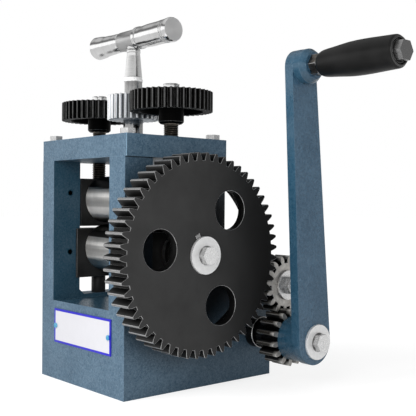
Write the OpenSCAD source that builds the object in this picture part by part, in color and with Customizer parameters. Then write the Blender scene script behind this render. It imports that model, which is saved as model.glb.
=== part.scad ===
// Hand-cranked rolling mill for sheet metal, with a geared lower roll and a screwed-down upper roll.
// Millimetres. +X runs along the rolls to the crank side, -Y is the feeding side, +Z is up.
// The origin is in the plane the base stands on, under the middle of the cap plate.

/* [Frame casting] */
// Width of the casting across both cheeks
frame_w = 153; // [146:1:165]
// Height of the base up to the deck between the cheeks
base_h = 82; // [78:1:110]
// How far the base reaches behind the roll axis
base_rear = 130; // [128:1:150]
// Depth of the cheeks and the cap plate, front to back
cheek_d = 125; // [116:1:140]
// Thickness of the cheek away from the crank
left_cheek_t = 23; // [20:0.5:28]
// Thickness of the cheek beside the big gear
right_cheek_t = 26; // [22:0.5:30]
// Thickness of the base's four walls
base_wall = 13; // [9:0.5:16]
// Thickness of the deck over the hollow of the base
base_roof = 14; // [8:0.5:18]
// Width of the slot that the bearing blocks stand in
slot_w = 61; // [58:0.5:76]
// Height of the slot's floor over the deck
slot_rise = 3.7; // [2:0.1:8]
// Chamfer in the slot's two lower corners
slot_chamfer = 5.5; // [2:0.5:8]
// Thickness of the bracket that carries the idler's stud
bracket_t = 25.5; // [18:0.5:30]
// Height of the bracket over the deck
bracket_h = 43; // [38:1:60]
// Radius of the bracket's rear upper corner
bracket_round = 22; // [10:1:26]
// Radius of the four tapped holes under the base
bench_hole_r = 4.25; // [3.5:0.25:5]
// Depth of the tapped holes under the base
bench_hole_depth = 25; // [15:1:35]
// Distance of those holes from the base's sides
bench_hole_side = 13.5; // [12:0.5:18]
// Distance of the front pair from the base's front
bench_hole_front = 14.5; // [12:0.5:26]
// Radius of the boss round each of those holes
bench_boss_r = 12; // [9:0.5:14]
// Radius of the two guide holes in the inner face of each cheek
guide_hole_r = 2.5; // [2:0.25:3.5]
// Depth of the guide holes
guide_hole_depth = 12; // [6:1:16]
// Distance of the guide holes from the cheek's front face
guide_hole_front = 20; // [14:0.5:24]
// Height of the lower guide hole over the deck
guide_hole_rise = 50; // [20:1:60]
// Distance between the two guide holes
guide_hole_span = 63; // [40:1:75]

/* [Cap plate] */
// How far the cap plate stands out over the casting on the gear side
cap_overhang = 2; // [1:0.5:6]
// Thickness of the cap plate
cap_t = 21.5; // [16:0.5:26]
// Distance of the cap bolts from the ends of the cap plate
cap_bolt_side = 11.5; // [8:0.5:14]
// Distance of the cap bolts from its front and rear faces
cap_bolt_front = 9; // [7.5:0.5:14]
// Length of a cap bolt under its head
cap_bolt_len = 45; // [35:1:60]

/* [Rolls and blocks] */
// Diameter of both rolls
roll_d = 50; // [46:1:56]
// Gap between the rolls as they stand
roll_nip = 2.5; // [2.3:0.1:6]
// Space between the deck and the lower roll
roll_clear_deck = 29; // [18:1:40]
// Radius of the lower roll's journals
lower_journal_r = 14.25; // [12:0.25:19]
// Radius of the upper roll's journals
upper_journal_r = 12; // [10:0.25:15]
// Wall of the bushes round the journals
bush_wall = 3; // [2:0.25:4]
// Metal under the lower bushes in their blocks
lower_floor = 14.65; // [5:0.05:16]
// Metal over the lower bushes in their blocks
lower_bridge = 3.65; // [3:0.05:5.5]
// Metal under the upper bushes in their blocks
upper_floor = 14; // [7.5:0.1:15]
// Metal over the upper bushes in their blocks
upper_bridge = 7.2; // [7:0.1:12]
// Room over the upper blocks, which the upper roll can rise into
lift_room = 17.8; // [14:0.1:22]
// Width of the flange on a lower block that stops it against the cheek's inner face
flange_w = 71; // [64:0.5:78]
// Thickness of that flange
flange_t = 2.5; // [1.5:0.25:4]
// How far the blocks stay inside the cheeks' outer faces
block_inset = 1.5; // [0.5:0.25:4]
// Radius of the post under each lower block
post_r = 7.75; // [5:0.25:10]

/* [Gear train] */
// Module of the three gears at the side
train_module = 3.4; // [3.3:0.05:3.5]
// Teeth of the big gear
big_teeth = 55; // [52:1:58]
// Teeth of the idler
idler_teeth = 16; // [15:1:18]
// Teeth of the crank's pinion
pinion_teeth = 15; // [14:1:17]
// Width of the big gear
big_gear_w = 25.9; // [22:0.1:30]
// Thickness of the big gear's web, whose face is level with the teeth
big_web = 9; // [6:0.5:14]
// Thickness of its rim inside the teeth
big_rim = 10.2; // [6:0.1:14]
// Radius of its hub, behind the web
big_hub_r = 24; // [21:0.5:28]
// Radius of the big gear's round windows
window_r = 19; // [12:0.5:20]
// Radius of the ring that the windows lie on
window_ring_r = 53; // [48:0.5:60]
// Number of windows
window_count = 3; // [2:1:4]
// Length of bare neck between the cheek and the gear's spacer
neck_gap = 1; // [0.5:0.25:8]
// Radius of the spacer behind the big gear
spacer_r = 20; // [18:0.5:26]
// Length of the spacer
spacer_t = 14.5; // [8:0.5:16]
// Radius of the shaft in the big gear's bore
gear_seat_r = 14; // [12:0.25:16]
// Width of the big gear's key
key_w = 5; // [3:0.25:7]
// How deep the key lies in the shaft
key_in = 3; // [2:0.25:4]
// How far the key reaches into the gear
key_out = 7.5; // [3:0.25:9]
// Width of the idler
idler_w = 20; // [16:0.5:22]
// How far the idler's back stands in front of the big gear's back
idler_set = 3.5; // [1:0.25:4]
// Radius of the stud behind the idler
stud_r = 12; // [10:0.5:15]
// Radius of the stud inside the idler
stud_journal_r = 8; // [6:0.25:9]
// Width of the crank's pinion
pinion_w = 24.5; // [20:0.1:32]
// Radius of the hub behind the crank's pinion
pinion_hub_r = 14; // [12:0.5:16]
// Length of that hub
pinion_hub_t = 18.2; // [12:0.1:24]
// Radius of the crank shaft
crank_shaft_r = 11; // [8:0.25:12]
// Outer radius of the crank shaft's bush
crank_bush_r = 16.5; // [14:0.25:20]
// How far that bush stands out of the base
crank_bush_proud = 10.5; // [8:0.25:14]
// Wall of the collar on the crank shaft's inner end
shaft_collar_wall = 2.2; // [1.5:0.1:3]
// Width of that collar
shaft_collar_t = 5; // [3:0.5:8]
// Room round that collar in the corner of the base
collar_room = 1; // [0.5:0.1:1.5]

/* [Crank] */
// Length of the crank from its shaft to the handle
crank_len = 270; // [220:1:300]
// Thickness of the arm
arm_t = 10; // [8:0.5:14]
// Radius of the arm's lower end
arm_low_r = 22.5; // [21:0.5:30]
// How far the middle of that end lies to the front of the shaft
arm_low_set = 2.5; // [0:0.1:4]
// Radius of the arm's upper end
arm_top_r = 17; // [15:0.5:22]
// Radius of the boss behind the arm's lower end
boss_r = 22.5; // [18:0.5:25]
// Length of that boss
boss_len = 22; // [18:0.5:32]
// Radius of the boss in front of the arm's upper end
top_boss_r = 16.8; // [14:0.1:18]
// Length of its straight part
top_boss_len = 8; // [5:0.5:12]
// Length of its tapered nose
top_nose_len = 5.5; // [3:0.5:8]
// Radius at the end of its nose
top_nose_r = 13; // [11.5:0.1:14]

/* [Hand grip] */
// Length of the hand grip
grip_len = 87.5; // [75:0.5:110]
// Largest diameter of the hand grip
grip_d = 32.1; // [30:0.1:38]
// Radius of the recess in the grip's end
grip_recess_r = 11.5; // [11:0.1:12.5]
// Depth of that recess
grip_recess = 3; // [2:0.25:5]
// Radius of the bolt that the grip turns on
handle_bolt_r = 6; // [5:0.25:7]
// Height of the lock nut between the crank and the grip
handle_nut_t = 9.2; // [6:0.1:12]
// Size of that nut across its flats
handle_nut_af = 19; // [17:0.5:22]
// Height of the bolt's head
handle_head_t = 7.2; // [5:0.1:9]
// Size of the bolt's head across its flats
handle_head_af = 17; // [15:0.5:19]

/* [Adjusting screws] */
// Distance of the screws from the ends of the cap plate
screw_side = 13; // [11.5:0.5:14]
// Radius of the screws
screw_r = 7.5; // [6:0.25:9]
// Radius of the foot that lifts the upper block
foot_r = 10; // [9:0.25:12]
// Thickness of that foot
foot_t = 3; // [2.5:0.1:4]
// Thickness of the block's lip over the foot
lip_t = 2.6; // [2:0.1:3.5]
// Radius of the screw inside its gear
screw_seat_r = 6.5; // [5:0.25:7]
// Teeth of the two gears on the screws
top_teeth = 42; // [40:1:44]
// Teeth of the pinion between them
mid_teeth = 27; // [24:1:30]
// Width of the gears on the screws
top_gear_w = 19.5; // [14:0.5:24]
// Thickness of their web, under the top face
top_web = 8; // [5:0.5:12]
// Thickness of their rim inside the teeth
top_rim = 5; // [3:0.5:8]
// Radius of their hubs
top_hub_r = 12.6; // [10:0.1:16]
// How far the hubs reach down below the teeth
top_hub_len = 12; // [6:0.5:16]
// Chamfer round the lower end of the hubs
top_hub_chamfer = 2; // [1:0.25:3]
// Space between the cap plate and the hubs
top_hub_rise = 13; // [8:0.5:18]
// Radius of the slotted screws on the gears
cap_screw_r = 8; // [7.5:0.1:9]
// Height of the head of the slotted screws
cap_screw_t = 8; // [5:0.25:10]

/* [T handle] */
// Radius of the stem under the pinion
stem_low_r = 10.3; // [9.6:0.1:12]
// Radius of the stem in the cap plate
stem_journal_r = 8; // [6:0.25:9]
// Radius of the stem in the pinion and just over it
stem_seat_r = 9.3; // [8.5:0.1:9.5]
// Height of the pinion's underside over the cap plate
mid_pinion_rise = 21.6; // [18:0.1:25]
// Width of the pinion
mid_pinion_w = 25.5; // [22:0.1:32]
// Length of the plain band over the pinion
band_len = 14.9; // [10:0.1:20]
// Radius of the ring over the band
stem_ring_r = 9.9; // [9.6:0.1:11]
// Height of that ring
stem_ring_t = 2; // [1:0.1:3]
// Length of the tapered neck
taper_len = 28; // [20:0.5:36]
// Radius at the foot of the taper
taper_low_r = 9.45; // [8.5:0.05:9.6]
// Radius at the top of the taper
taper_top_r = 6.8; // [5.5:0.05:7]
// Radius of the ring at the top of the taper
neck_ring_r = 7.2; // [7.1:0.05:8.5]
// Height of that ring
neck_ring_t = 3.5; // [2:0.1:5]
// Height of the bar's axis over that ring
bar_rise = 11; // [10.5:0.1:14]
// Radius of the sleeve that holds the bar
sleeve_r = 10.3; // [9.6:0.1:10.5]
// Length of the sleeve to the left of the stem
sleeve_left = 19; // [14:0.5:22]
// Length of the sleeve to the right of the stem
sleeve_right = 10; // [9:0.5:16]
// Half the length of the bar
bar_half = 67.5; // [60:0.5:90]
// Largest radius of the bar's right-hand grip
bar_right_r = 12.3; // [12:0.1:14]
// Largest radius of the bar's left-hand grip
bar_left_r = 12.4; // [12:0.1:14]
// Radius of the bead at the inner end of the right-hand grip
bead_r = 11.7; // [11.2:0.1:13]
// Width of that bead
bead_t = 4; // [2:0.25:6]
// Radius of the spigots inside the sleeve
spigot_r = 6; // [4:0.25:7]

/* [Front plate] */
// Width of the bare front plate
plate_w = 104.6; // [80:0.1:120]
// Height of the front plate
plate_h = 35; // [25:0.5:45]
// Thickness of the front plate
plate_t = 1; // [0.5:0.1:2]
// Sideways place of the plate's middle
plate_x = 2.3; // [0:0.1:4]
// Height of the plate's middle over the bench
plate_z = 56.5; // [40:0.5:58]
// Distance of the plate's screws from its ends
plate_screw_in = 3.5; // [3.5:0.1:6]

/* [Fasteners] */
// Radius of the cap bolts
cap_bolt_r = 4; // [3:0.25:5]
// Size of the cap bolts' heads across the flats
cap_bolt_af = 13; // [11:0.5:14]
// Height of the cap bolts' heads
cap_bolt_head = 5.3; // [4:0.1:7]
// Radius of the bolts in the ends of the shafts
end_bolt_r = 5; // [4:0.25:6]
// Size of their heads across the flats
end_bolt_af = 16; // [14:0.5:18]
// Height of their heads
end_bolt_head = 6.4; // [5:0.1:8]
// Length of those bolts inside the shafts
end_bolt_len = 25; // [15:1:35]
// Radius of the big gear's washer
gear_washer_r = 18; // [17:0.25:19]
// Thickness of the big gear's washer
gear_washer_t = 2.7; // [2:0.1:4]
// Radius of the crank's washer
crank_washer_r = 17.5; // [14:0.25:20]
// Thickness of the crank's washer
crank_washer_t = 2.5; // [2:0.1:4]
// Radius of the idler's washer
idler_washer_r = 15.5; // [12:0.25:17]
// Thickness of the idler's washer
idler_washer_t = 2.5; // [2:0.1:4]
// Size of the idler's nut across its flats
idler_nut_af = 17; // [16:0.5:19]
// Height of the idler's nut
idler_nut_t = 7; // [5:0.25:9]
// Radius of the stud's threaded end
stud_thread_r = 5; // [4:0.25:6]
// How far the stud's end stands out of its nut
stud_tip = 3.5; // [1:0.25:6]
// Radius of the washer in the grip's end
grip_washer_r = 10.5; // [9.9:0.1:10.9]
// Thickness of the washer in the grip's end
grip_washer_t = 2; // [1:0.1:3]
// Radius of the heads of the front plate's screws
plate_screw_r = 2.5; // [2:0.1:3]
// Height of those heads
plate_screw_head = 1.4; // [1:0.1:2]

/* [Clearances] */
// Radial clearance of a shaft in its bush
shaft_gap = 0.05; // [0.02:0.01:0.1]
// Space between faces that turn past each other
run_gap = 0.3; // [0.2:0.05:0.5]
// Space on each side of a bearing block in its slot
block_gap = 0.3; // [0.2:0.05:0.5]
// How far a shaft's end stays short of the face of what is clamped on it
shaft_short = 0.4; // [0.2:0.1:1]
// How much thinner each tooth is than its space allows
tooth_backlash = 0.3; // [0.2:0.05:0.5]

/* [Hidden] */
$fn = 96;

// One overrun for every cut
over = 1;

// Angles of the train, from straight back towards straight up
idler_angle = -16.95;
pinion_angle = -97;
big_phase = 3;
window_angle = 53;
key_angle = 115;
crank_lean = 4.5;
hex_lean = 30;
left_slot_turn = 131;
right_slot_turn = 20;
pressure = 20;

// Shares of the module that the teeth rise over and sink below the pitch circle
addendum_share = 1;
dedendum_share = 1.25;
tip_chamfer_share = 0.12;
// Share of a small gear's tooth that is relieved below its base circle
relief_share = 0.16;

// Heights of the stack, from the bench up
deck_z = base_h;
slot_floor_z = deck_z + slot_rise;
roll_r = roll_d / 2;
lower_z = deck_z + roll_clear_deck + roll_r;
upper_z = lower_z + roll_d + roll_nip;
lower_bush_r = lower_journal_r + bush_wall;
upper_bush_r = upper_journal_r + bush_wall;
lower_block_z0 = lower_z - lower_bush_r - lower_floor;
lower_block_z1 = lower_z + lower_bush_r + lower_bridge;
upper_block_z0 = upper_z - upper_bush_r - upper_floor;
upper_block_z1 = upper_z + upper_bush_r + upper_bridge;
cheek_top_z = upper_block_z1 + lift_room;
cap_top_z = cheek_top_z + cap_t;

// Places across the frame
cap_w = frame_w + cap_overhang;
frame_x0 = -cap_w / 2;
frame_x1 = frame_x0 + frame_w;
cheek_in_x0 = frame_x0 + left_cheek_t;
cheek_in_x1 = frame_x1 - right_cheek_t;
cheek_y = cheek_d / 2;
screw_x = cap_w / 2 - screw_side;
cap_bolt_x = cap_w / 2 - cap_bolt_side;
cap_bolt_y = cheek_y - cap_bolt_front;
bench_hole_x = cap_w / 2 - bench_hole_side;
bench_hole_y = cheek_y - bench_hole_front;
guide_hole_y = cheek_y - guide_hole_front;
block_half = slot_w / 2 - block_gap;
roll_x0 = cheek_in_x0 + flange_t + run_gap;
roll_x1 = cheek_in_x1 - flange_t - run_gap;
block_out_x0 = frame_x0 + block_inset;
block_out_x1 = frame_x1 - block_inset;

// The train's pitch radii and centres
big_r = train_module * big_teeth / 2;
idler_r = train_module * idler_teeth / 2;
pinion_r = train_module * pinion_teeth / 2;
idler_y = (big_r + idler_r) * cos(idler_angle);
idler_z = lower_z + (big_r + idler_r) * sin(idler_angle);
crank_y = idler_y + (idler_r + pinion_r) * cos(pinion_angle);
crank_z = idler_z + (idler_r + pinion_r) * sin(pinion_angle);
idler_phase = mesh_phase(big_teeth, big_phase, idler_angle, idler_teeth);
pinion_phase = mesh_phase(idler_teeth, idler_phase, pinion_angle, pinion_teeth);

// Places along the roll axis, outwards from the cheek
spacer_x = frame_x1 + neck_gap;
big_gear_x = spacer_x + spacer_t;
big_gear_front_x = big_gear_x + big_gear_w;
idler_x = big_gear_x + idler_set;
bush_front_x = frame_x1 + crank_bush_proud;
pinion_x = bush_front_x + run_gap + pinion_hub_t;
boss_x = pinion_x + pinion_w;
arm_x = boss_x + boss_len;
arm_front_x = arm_x + arm_t;
shaft_collar_r = crank_shaft_r + shaft_collar_wall;
collar_x = frame_x1 - base_wall - run_gap - shaft_collar_t;

// The handle at the end of the crank
handle_y = crank_y - crank_len * sin(crank_lean);
handle_z = crank_z + crank_len * cos(crank_lean);
nose_x = arm_front_x + top_boss_len + top_nose_len;
grip_x = nose_x + handle_nut_t + run_gap;
grip_end_x = grip_x + grip_len;
grip_washer_x = grip_end_x - grip_recess + run_gap;
handle_head_x = grip_washer_x + grip_washer_t;

// The adjusting works over the cap plate
top_module = 2 * screw_x / (top_teeth + mid_teeth);
top_r = top_module * top_teeth / 2;
mid_r = top_module * mid_teeth / 2;
mid_phase = 0;
right_phase = mesh_phase(mid_teeth, mid_phase, 0, top_teeth);
left_phase = mesh_phase(mid_teeth, mid_phase, 180, top_teeth);
hub_z = cap_top_z + top_hub_rise;
top_gear_z = hub_z + top_hub_len;
top_gear_top_z = top_gear_z + top_gear_w;
foot_z1 = upper_block_z1 - lip_t - run_gap;
foot_z0 = foot_z1 - foot_t;
foot_slot_z0 = foot_z0 - run_gap;
screw_tap_r = 3;
screw_tap_len = 14;
driver_slot_w = 2;
driver_slot_t = 2.5;

// The stem
stem_wall = 3;
retainer_t = 4;
retainer_wall = 4;
stem_z = cap_top_z + run_gap;
retainer_pocket = retainer_t + 2 * run_gap;
mid_pinion_z = cap_top_z + mid_pinion_rise;
band_z = mid_pinion_z + mid_pinion_w;
ring_z = band_z + band_len;
taper_z = ring_z + stem_ring_t;
neck_z = taper_z + taper_len;
bar_z = neck_z + neck_ring_t + bar_rise;

// Where a tooth of the second gear stands so that it meshes with the first,
// with the second gear's centre at angle a from the first gear's centre
function mesh_phase(teeth1, phase1, a, teeth2) =
  a + 180 - teeth1 / teeth2 * (phase1 - a) - 180 / teeth2;

// The turn of an involute, in degrees, at a pressure angle
function inv(a) = tan(a) * 180 / PI - a;

// Half the turn of one tooth at radius r
function tooth_half(teeth, m, r, slack) =
  let (
    rp = m * teeth / 2,
    rb = rp * cos(pressure),
    half = 90 / teeth - slack / (2 * rp) * 180 / PI + inv(pressure)
  )
  r >= rb ? half - inv(acos(rb / r)) : half - relief_share * half * (rb - r) / (rb - rp + dedendum_share * m);

// The radii of the points on one flank, from the root to the tip
function flank_radii(teeth, m) =
  let (
    rp = m * teeth / 2,
    rb = rp * cos(pressure),
    root = rp - dedendum_share * m,
    low = max(rb, root + (rp - root) / 2),
    tip = rp + addendum_share * m - tip_chamfer_share * m
  )
  [root, low, rp, (rp + tip) / 2, tip];

// The outline of a whole gear
function gear_outline(teeth, m, slack, phase) =
  let (
    radii = flank_radii(teeth, m),
    last = len(radii) - 1,
    tip = m * teeth / 2 + addendum_share * m,
    land = tooth_half(teeth, m, radii[last], slack) - tip_chamfer_share * m / tip * 180 / PI
  )
  [
    for (t = [0 : teeth - 1])
      let (mid = phase + t * 360 / teeth)
        each concat(
          [for (i = [0 : last]) polar(radii[i], mid - tooth_half(teeth, m, radii[i], slack))],
          [polar(tip, mid - land), polar(tip, mid + land)],
          [for (i = [last : -1 : 0]) polar(radii[i], mid + tooth_half(teeth, m, radii[i], slack))]
        )
  ];

function polar(r, a) = [r * cos(a), r * sin(a)];

// A value between the stations of a table, along a smooth curve
function smooth(table, i, t) =
  let (
    p0 = table[max(i - 1, 0)], p1 = table[i], p2 = table[i + 1], p3 = table[min(i + 2, len(table) - 1)]
  )
  p1 + (p2 - p0) * t / 2 + (2 * p0 - 5 * p1 + 4 * p2 - p3) * t * t / 2
    + (3 * p1 - p0 - 3 * p2 + p3) * t * t * t / 2;

// A turned outline through the table's stations, with extra points between them
function turned(table, steps) = [
  for (i = [0 : len(table) - 2])
    for (s = [0 : steps - 1]) smooth(table, i, s / steps),
  table[len(table) - 1]
];

// Length along the hand grip, and radius, as shares of its length and its largest radius
grip_shares = [
  [0, 0.68], [0.06, 0.8], [0.22, 0.888], [0.41, 0.984], [0.6, 1], [0.79, 0.966], [0.95, 0.935], [0.975, 0.92]
];
grip_rim_share = 0.82;
// The same for the two grips of the T handle, outwards from the sleeve
right_grip_shares = [[0, 0.88], [0.16, 0.9], [0.38, 0.94], [0.6, 0.935], [0.8, 0.96], [0.95, 1], [0.98, 0.97]];
left_grip_shares = [[0, 0.79], [0.25, 0.815], [0.56, 0.86], [0.85, 0.97], [0.97, 1], [0.985, 0.98]];
bar_end_share = 0.92;

// Stands a shape on its axis along +X, with its own x and y turned into +Y and +Z
module along_x(x, y, z) {
  translate([x, y, z]) rotate([90, 0, 90]) children();
}

// A plain rod along X
module x_rod(r, x0, x1, y, z) {
  along_x(x0, y, z) cylinder(r = r, h = x1 - x0);
}

// A box between two corners
module block(a, b) {
  translate(a) cube(b - a);
}

// A hexagon by its size across the flats
module hexagon(af) {
  circle(r = af / 2 / cos(30), $fn = 6);
}

// A gear as a flat shape
module gear_shape(teeth, m, phase) {
  polygon(gear_outline(teeth, m, tooth_backlash, phase));
}

// The frame

module frame_casting() {
  color("steelblue")
  difference() {
    union() {
      block([frame_x0, -cheek_y, 0], [frame_x1, base_rear, deck_z]);
      block([frame_x0, -cheek_y, 0], [cheek_in_x0, cheek_y, cheek_top_z]);
      block([cheek_in_x1, -cheek_y, 0], [frame_x1, cheek_y, cheek_top_z]);
      along_x(frame_x1 - bracket_t, 0, 0) linear_extrude(bracket_t) bracket_outline();
    }
    base_hollow();
    slot(frame_x0 - over, cheek_in_x0 + over);
    slot(cheek_in_x1 - over, frame_x1 + over);
    for (x = [-bench_hole_x, bench_hole_x], y = [-bench_hole_y, bench_hole_y])
      translate([x, y, -over]) cylinder(r = bench_hole_r, h = bench_hole_depth + over);
    for (z = [guide_z, guide_z + guide_hole_span]) {
      x_rod(guide_hole_r, cheek_in_x0 - guide_hole_depth, cheek_in_x0 + over, -guide_hole_y, z);
      x_rod(guide_hole_r, cheek_in_x1 - over, cheek_in_x1 + guide_hole_depth, -guide_hole_y, z);
    }
    cap_bolt_places() translate([0, 0, cheek_top_z - cap_bolt_grip])
      cylinder(r = cap_bolt_r, h = cap_bolt_grip + over);
    x_rod(crank_bush_r, frame_x1 - base_wall - over, frame_x1 + over, crank_y, crank_z);
    x_rod(shaft_collar_r + collar_room, collar_x - collar_room, frame_x1 - base_wall, crank_y, crank_z);
    x_rod(stud_journal_r, frame_x1 - stud_root, frame_x1 + over, idler_y, idler_z);
  }
}
guide_z = deck_z + guide_hole_rise;
cap_bolt_grip = cap_bolt_len - cap_t;
stud_root = bracket_t - base_wall / 2;

// The bracket's outline, seen from the gear side
module bracket_outline() {
  top = deck_z + bracket_h;
  difference() {
    translate([cheek_y - over, deck_z - over]) square([base_rear - cheek_y + over, bracket_h + over]);
    translate([base_rear - bracket_round, top - bracket_round])
      difference() {
        square(bracket_round + over);
        circle(r = bracket_round);
      }
  }
}

// The core under the deck, with the bosses round the bench holes left standing
module base_hollow() {
  translate([0, 0, -over])
  linear_extrude(deck_z - base_roof + over)
  difference() {
    translate([frame_x0 + base_wall, -cheek_y + base_wall])
      square([frame_w - 2 * base_wall, base_rear + cheek_y - 2 * base_wall]);
    for (x = [-bench_hole_x, bench_hole_x], y = [-bench_hole_y, bench_hole_y])
      translate([x, y]) circle(r = bench_boss_r);
  }
}

// One cheek's slot, open at its top, with chamfered lower corners
module slot(x0, x1) {
  half = slot_w / 2;
  along_x(x0, 0, 0) linear_extrude(x1 - x0) polygon([
    [-half, cheek_top_z + over],
    [-half, slot_floor_z + slot_chamfer],
    [-half + slot_chamfer, slot_floor_z],
    [half - slot_chamfer, slot_floor_z],
    [half, slot_floor_z + slot_chamfer],
    [half, cheek_top_z + over]
  ]);
}

module cap_bolt_places() {
  for (x = [-cap_bolt_x, cap_bolt_x], y = [-cap_bolt_y, cap_bolt_y])
    translate([x, y, 0]) children();
}

module cap_plate() {
  color("steelblue")
  difference() {
    block([-cap_w / 2, -cheek_y, cheek_top_z], [cap_w / 2, cheek_y, cap_top_z]);
    cap_bolt_places() translate([0, 0, cheek_top_z - over])
      cylinder(r = cap_bolt_r, h = cap_t + 2 * over);
    for (x = [-screw_x, screw_x])
      translate([x, 0, cheek_top_z - over]) cylinder(r = screw_r + shaft_gap, h = cap_t + 2 * over);
    translate([0, 0, cheek_top_z - over]) cylinder(r = stem_bush_r, h = cap_t + 2 * over);
    translate([0, 0, cheek_top_z - over])
      cylinder(r = retainer_r + run_gap, h = retainer_pocket + over);
  }
}
stem_bush_r = stem_journal_r + shaft_gap + stem_wall;
retainer_r = stem_bush_r + retainer_wall;

module cap_bolts() {
  color("silver")
  cap_bolt_places() {
    translate([0, 0, cap_top_z]) linear_extrude(cap_bolt_head) rotate(hex_lean) hexagon(cap_bolt_af);
    translate([0, 0, cap_top_z - cap_bolt_len]) cylinder(r = cap_bolt_r, h = cap_bolt_len);
  }
}

module front_plate() {
  color("white")
  difference() {
    block([plate_x - plate_w / 2, -cheek_y - plate_t, plate_z - plate_h / 2],
      [plate_x + plate_w / 2, -cheek_y, plate_z + plate_h / 2]);
    plate_screw_places() translate([0, 0, -over]) cylinder(r = plate_shank_r, h = plate_t + 2 * over);
  }
}
plate_shank_r = plate_screw_r / 2;

// Each place has its z axis pointing out of the plate's face
module plate_screw_places() {
  for (s = [-1, 1])
    translate([plate_x + s * (plate_w / 2 - plate_screw_in), -cheek_y, plate_z])
      rotate([90, 0, 0]) children();
}

module plate_screws() {
  color("silver")
  plate_screw_places() {
    cylinder(r = plate_shank_r, h = plate_t);
    translate([0, 0, plate_t]) cylinder(r = plate_screw_r, h = plate_screw_head);
  }
}

// Bearing blocks and bushes

module lower_block(out_x, face_x, dir) {
  x0 = min(out_x, face_x);
  x1 = max(out_x, face_x);
  fx0 = min(face_x, face_x + dir * flange_t);
  color("dimgray")
  difference() {
    union() {
      block([x0, -block_half, lower_block_z0], [x1, block_half, lower_block_z1]);
      block([fx0, -flange_w / 2, lower_block_z0], [fx0 + flange_t, flange_w / 2, lower_block_z1]);
    }
    x_rod(lower_bush_r, x0 - flange_t - over, x1 + flange_t + over, 0, lower_z);
  }
}

module lower_block_left() {
  lower_block(block_out_x0, cheek_in_x0, 1);
}

module lower_block_right() {
  lower_block(block_out_x1, cheek_in_x1, -1);
}

// A block that hangs on its screw's foot, in a T slot open to the outside of the mill
module upper_block(out_x, in_x, foot_x) {
  x0 = min(out_x, in_x);
  x1 = max(out_x, in_x);
  color("dimgray")
  difference() {
    block([x0, -block_half, upper_block_z0], [x1, block_half, upper_block_z1]);
    x_rod(upper_bush_r, x0 - over, x1 + over, 0, upper_z);
    t_slot(out_x, foot_x, screw_r + run_gap, foot_slot_z0, upper_block_z1 + over);
    t_slot(out_x, foot_x, foot_r + run_gap, foot_slot_z0, upper_block_z1 - lip_t);
  }
}

module t_slot(out_x, foot_x, half, z0, z1) {
  end_x = out_x + (out_x < foot_x ? -over : over);
  translate([foot_x, 0, z0]) cylinder(r = half, h = z1 - z0);
  block([min(end_x, foot_x), -half, z0], [max(end_x, foot_x), half, z1]);
}

module upper_block_left() {
  upper_block(block_out_x0, cheek_in_x0 + flange_t, -screw_x);
}

module upper_block_right() {
  upper_block(block_out_x1, cheek_in_x1 - flange_t, screw_x);
}

module bush(x0, x1, r_in, r_out, z) {
  color("peru")
  difference() {
    x_rod(r_out, x0, x1, 0, z);
    x_rod(r_in, x0 - over, x1 + over, 0, z);
  }
}

module lower_bush_left() {
  bush(block_out_x0, cheek_in_x0 + flange_t, lower_journal_r + shaft_gap, lower_bush_r, lower_z);
}

module lower_bush_right() {
  bush(cheek_in_x1 - flange_t, block_out_x1, lower_journal_r + shaft_gap, lower_bush_r, lower_z);
}

module upper_bush_left() {
  bush(block_out_x0, cheek_in_x0 + flange_t, upper_journal_r + shaft_gap, upper_bush_r, upper_z);
}

module upper_bush_right() {
  bush(cheek_in_x1 - flange_t, block_out_x1, upper_journal_r + shaft_gap, upper_bush_r, upper_z);
}

module support_post(x) {
  color("dimgray")
  translate([x, 0, slot_floor_z]) cylinder(r = post_r, h = lower_block_z0 - slot_floor_z);
}

module support_post_left() {
  support_post(-screw_x);
}

module support_post_right() {
  support_post(screw_x);
}

// Rolls

module lower_roll() {
  shaft_end = big_gear_front_x - shaft_short;
  color("gainsboro")
  difference() {
    union() {
      x_rod(lower_journal_r, block_out_x0, spacer_x, 0, lower_z);
      x_rod(roll_r, roll_x0, roll_x1, 0, lower_z);
      x_rod(gear_seat_r, spacer_x, shaft_end, 0, lower_z);
    }
    along_x(big_gear_x, 0, lower_z) linear_extrude(big_gear_w) key_shape();
    x_rod(end_bolt_r, shaft_end - end_bolt_len, shaft_end + over, 0, lower_z);
  }
}

module upper_roll() {
  color("gainsboro")
  union() {
    x_rod(upper_journal_r, block_out_x0, block_out_x1, 0, upper_z);
    x_rod(roll_r, roll_x0, roll_x1, 0, upper_z);
  }
}

// The side gear train

module key_shape() {
  rotate(key_angle)
    translate([gear_seat_r - key_in, -key_w / 2]) square([key_in + key_out, key_w]);
}

module gear_key() {
  color("silver")
  along_x(big_gear_x, 0, lower_z) linear_extrude(big_gear_w) key_shape();
}

module gear_spacer() {
  color("dimgray")
  along_x(spacer_x, 0, lower_z) linear_extrude(spacer_t)
  difference() {
    circle(r = spacer_r);
    circle(r = gear_seat_r);
  }
}

module big_gear() {
  color("#343436")
  difference() {
    along_x(big_gear_x, 0, lower_z) linear_extrude(big_gear_w)
    difference() {
      gear_shape(big_teeth, train_module, big_phase);
      circle(r = gear_seat_r);
      key_shape();
      for (i = [0 : window_count - 1])
        rotate(window_angle + i * 360 / window_count) translate([window_ring_r, 0]) circle(r = window_r);
    }
    along_x(big_gear_x - over, 0, lower_z) linear_extrude(big_gear_w - big_web + over)
    difference() {
      circle(r = big_r - dedendum_share * train_module - big_rim);
      circle(r = big_hub_r);
    }
  }
}

module end_washer(x, y, z, r, t, hole) {
  color("silver")
  along_x(x, y, z) linear_extrude(t)
  difference() {
    circle(r = r);
    circle(r = hole);
  }
}

// A hex bolt whose head's back is at x
module end_bolt(x, y, z, reach, turn) {
  color("silver") {
    along_x(x, y, z) linear_extrude(end_bolt_head) rotate(turn) hexagon(end_bolt_af);
    x_rod(end_bolt_r, x - reach, x, y, z);
  }
}

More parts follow.
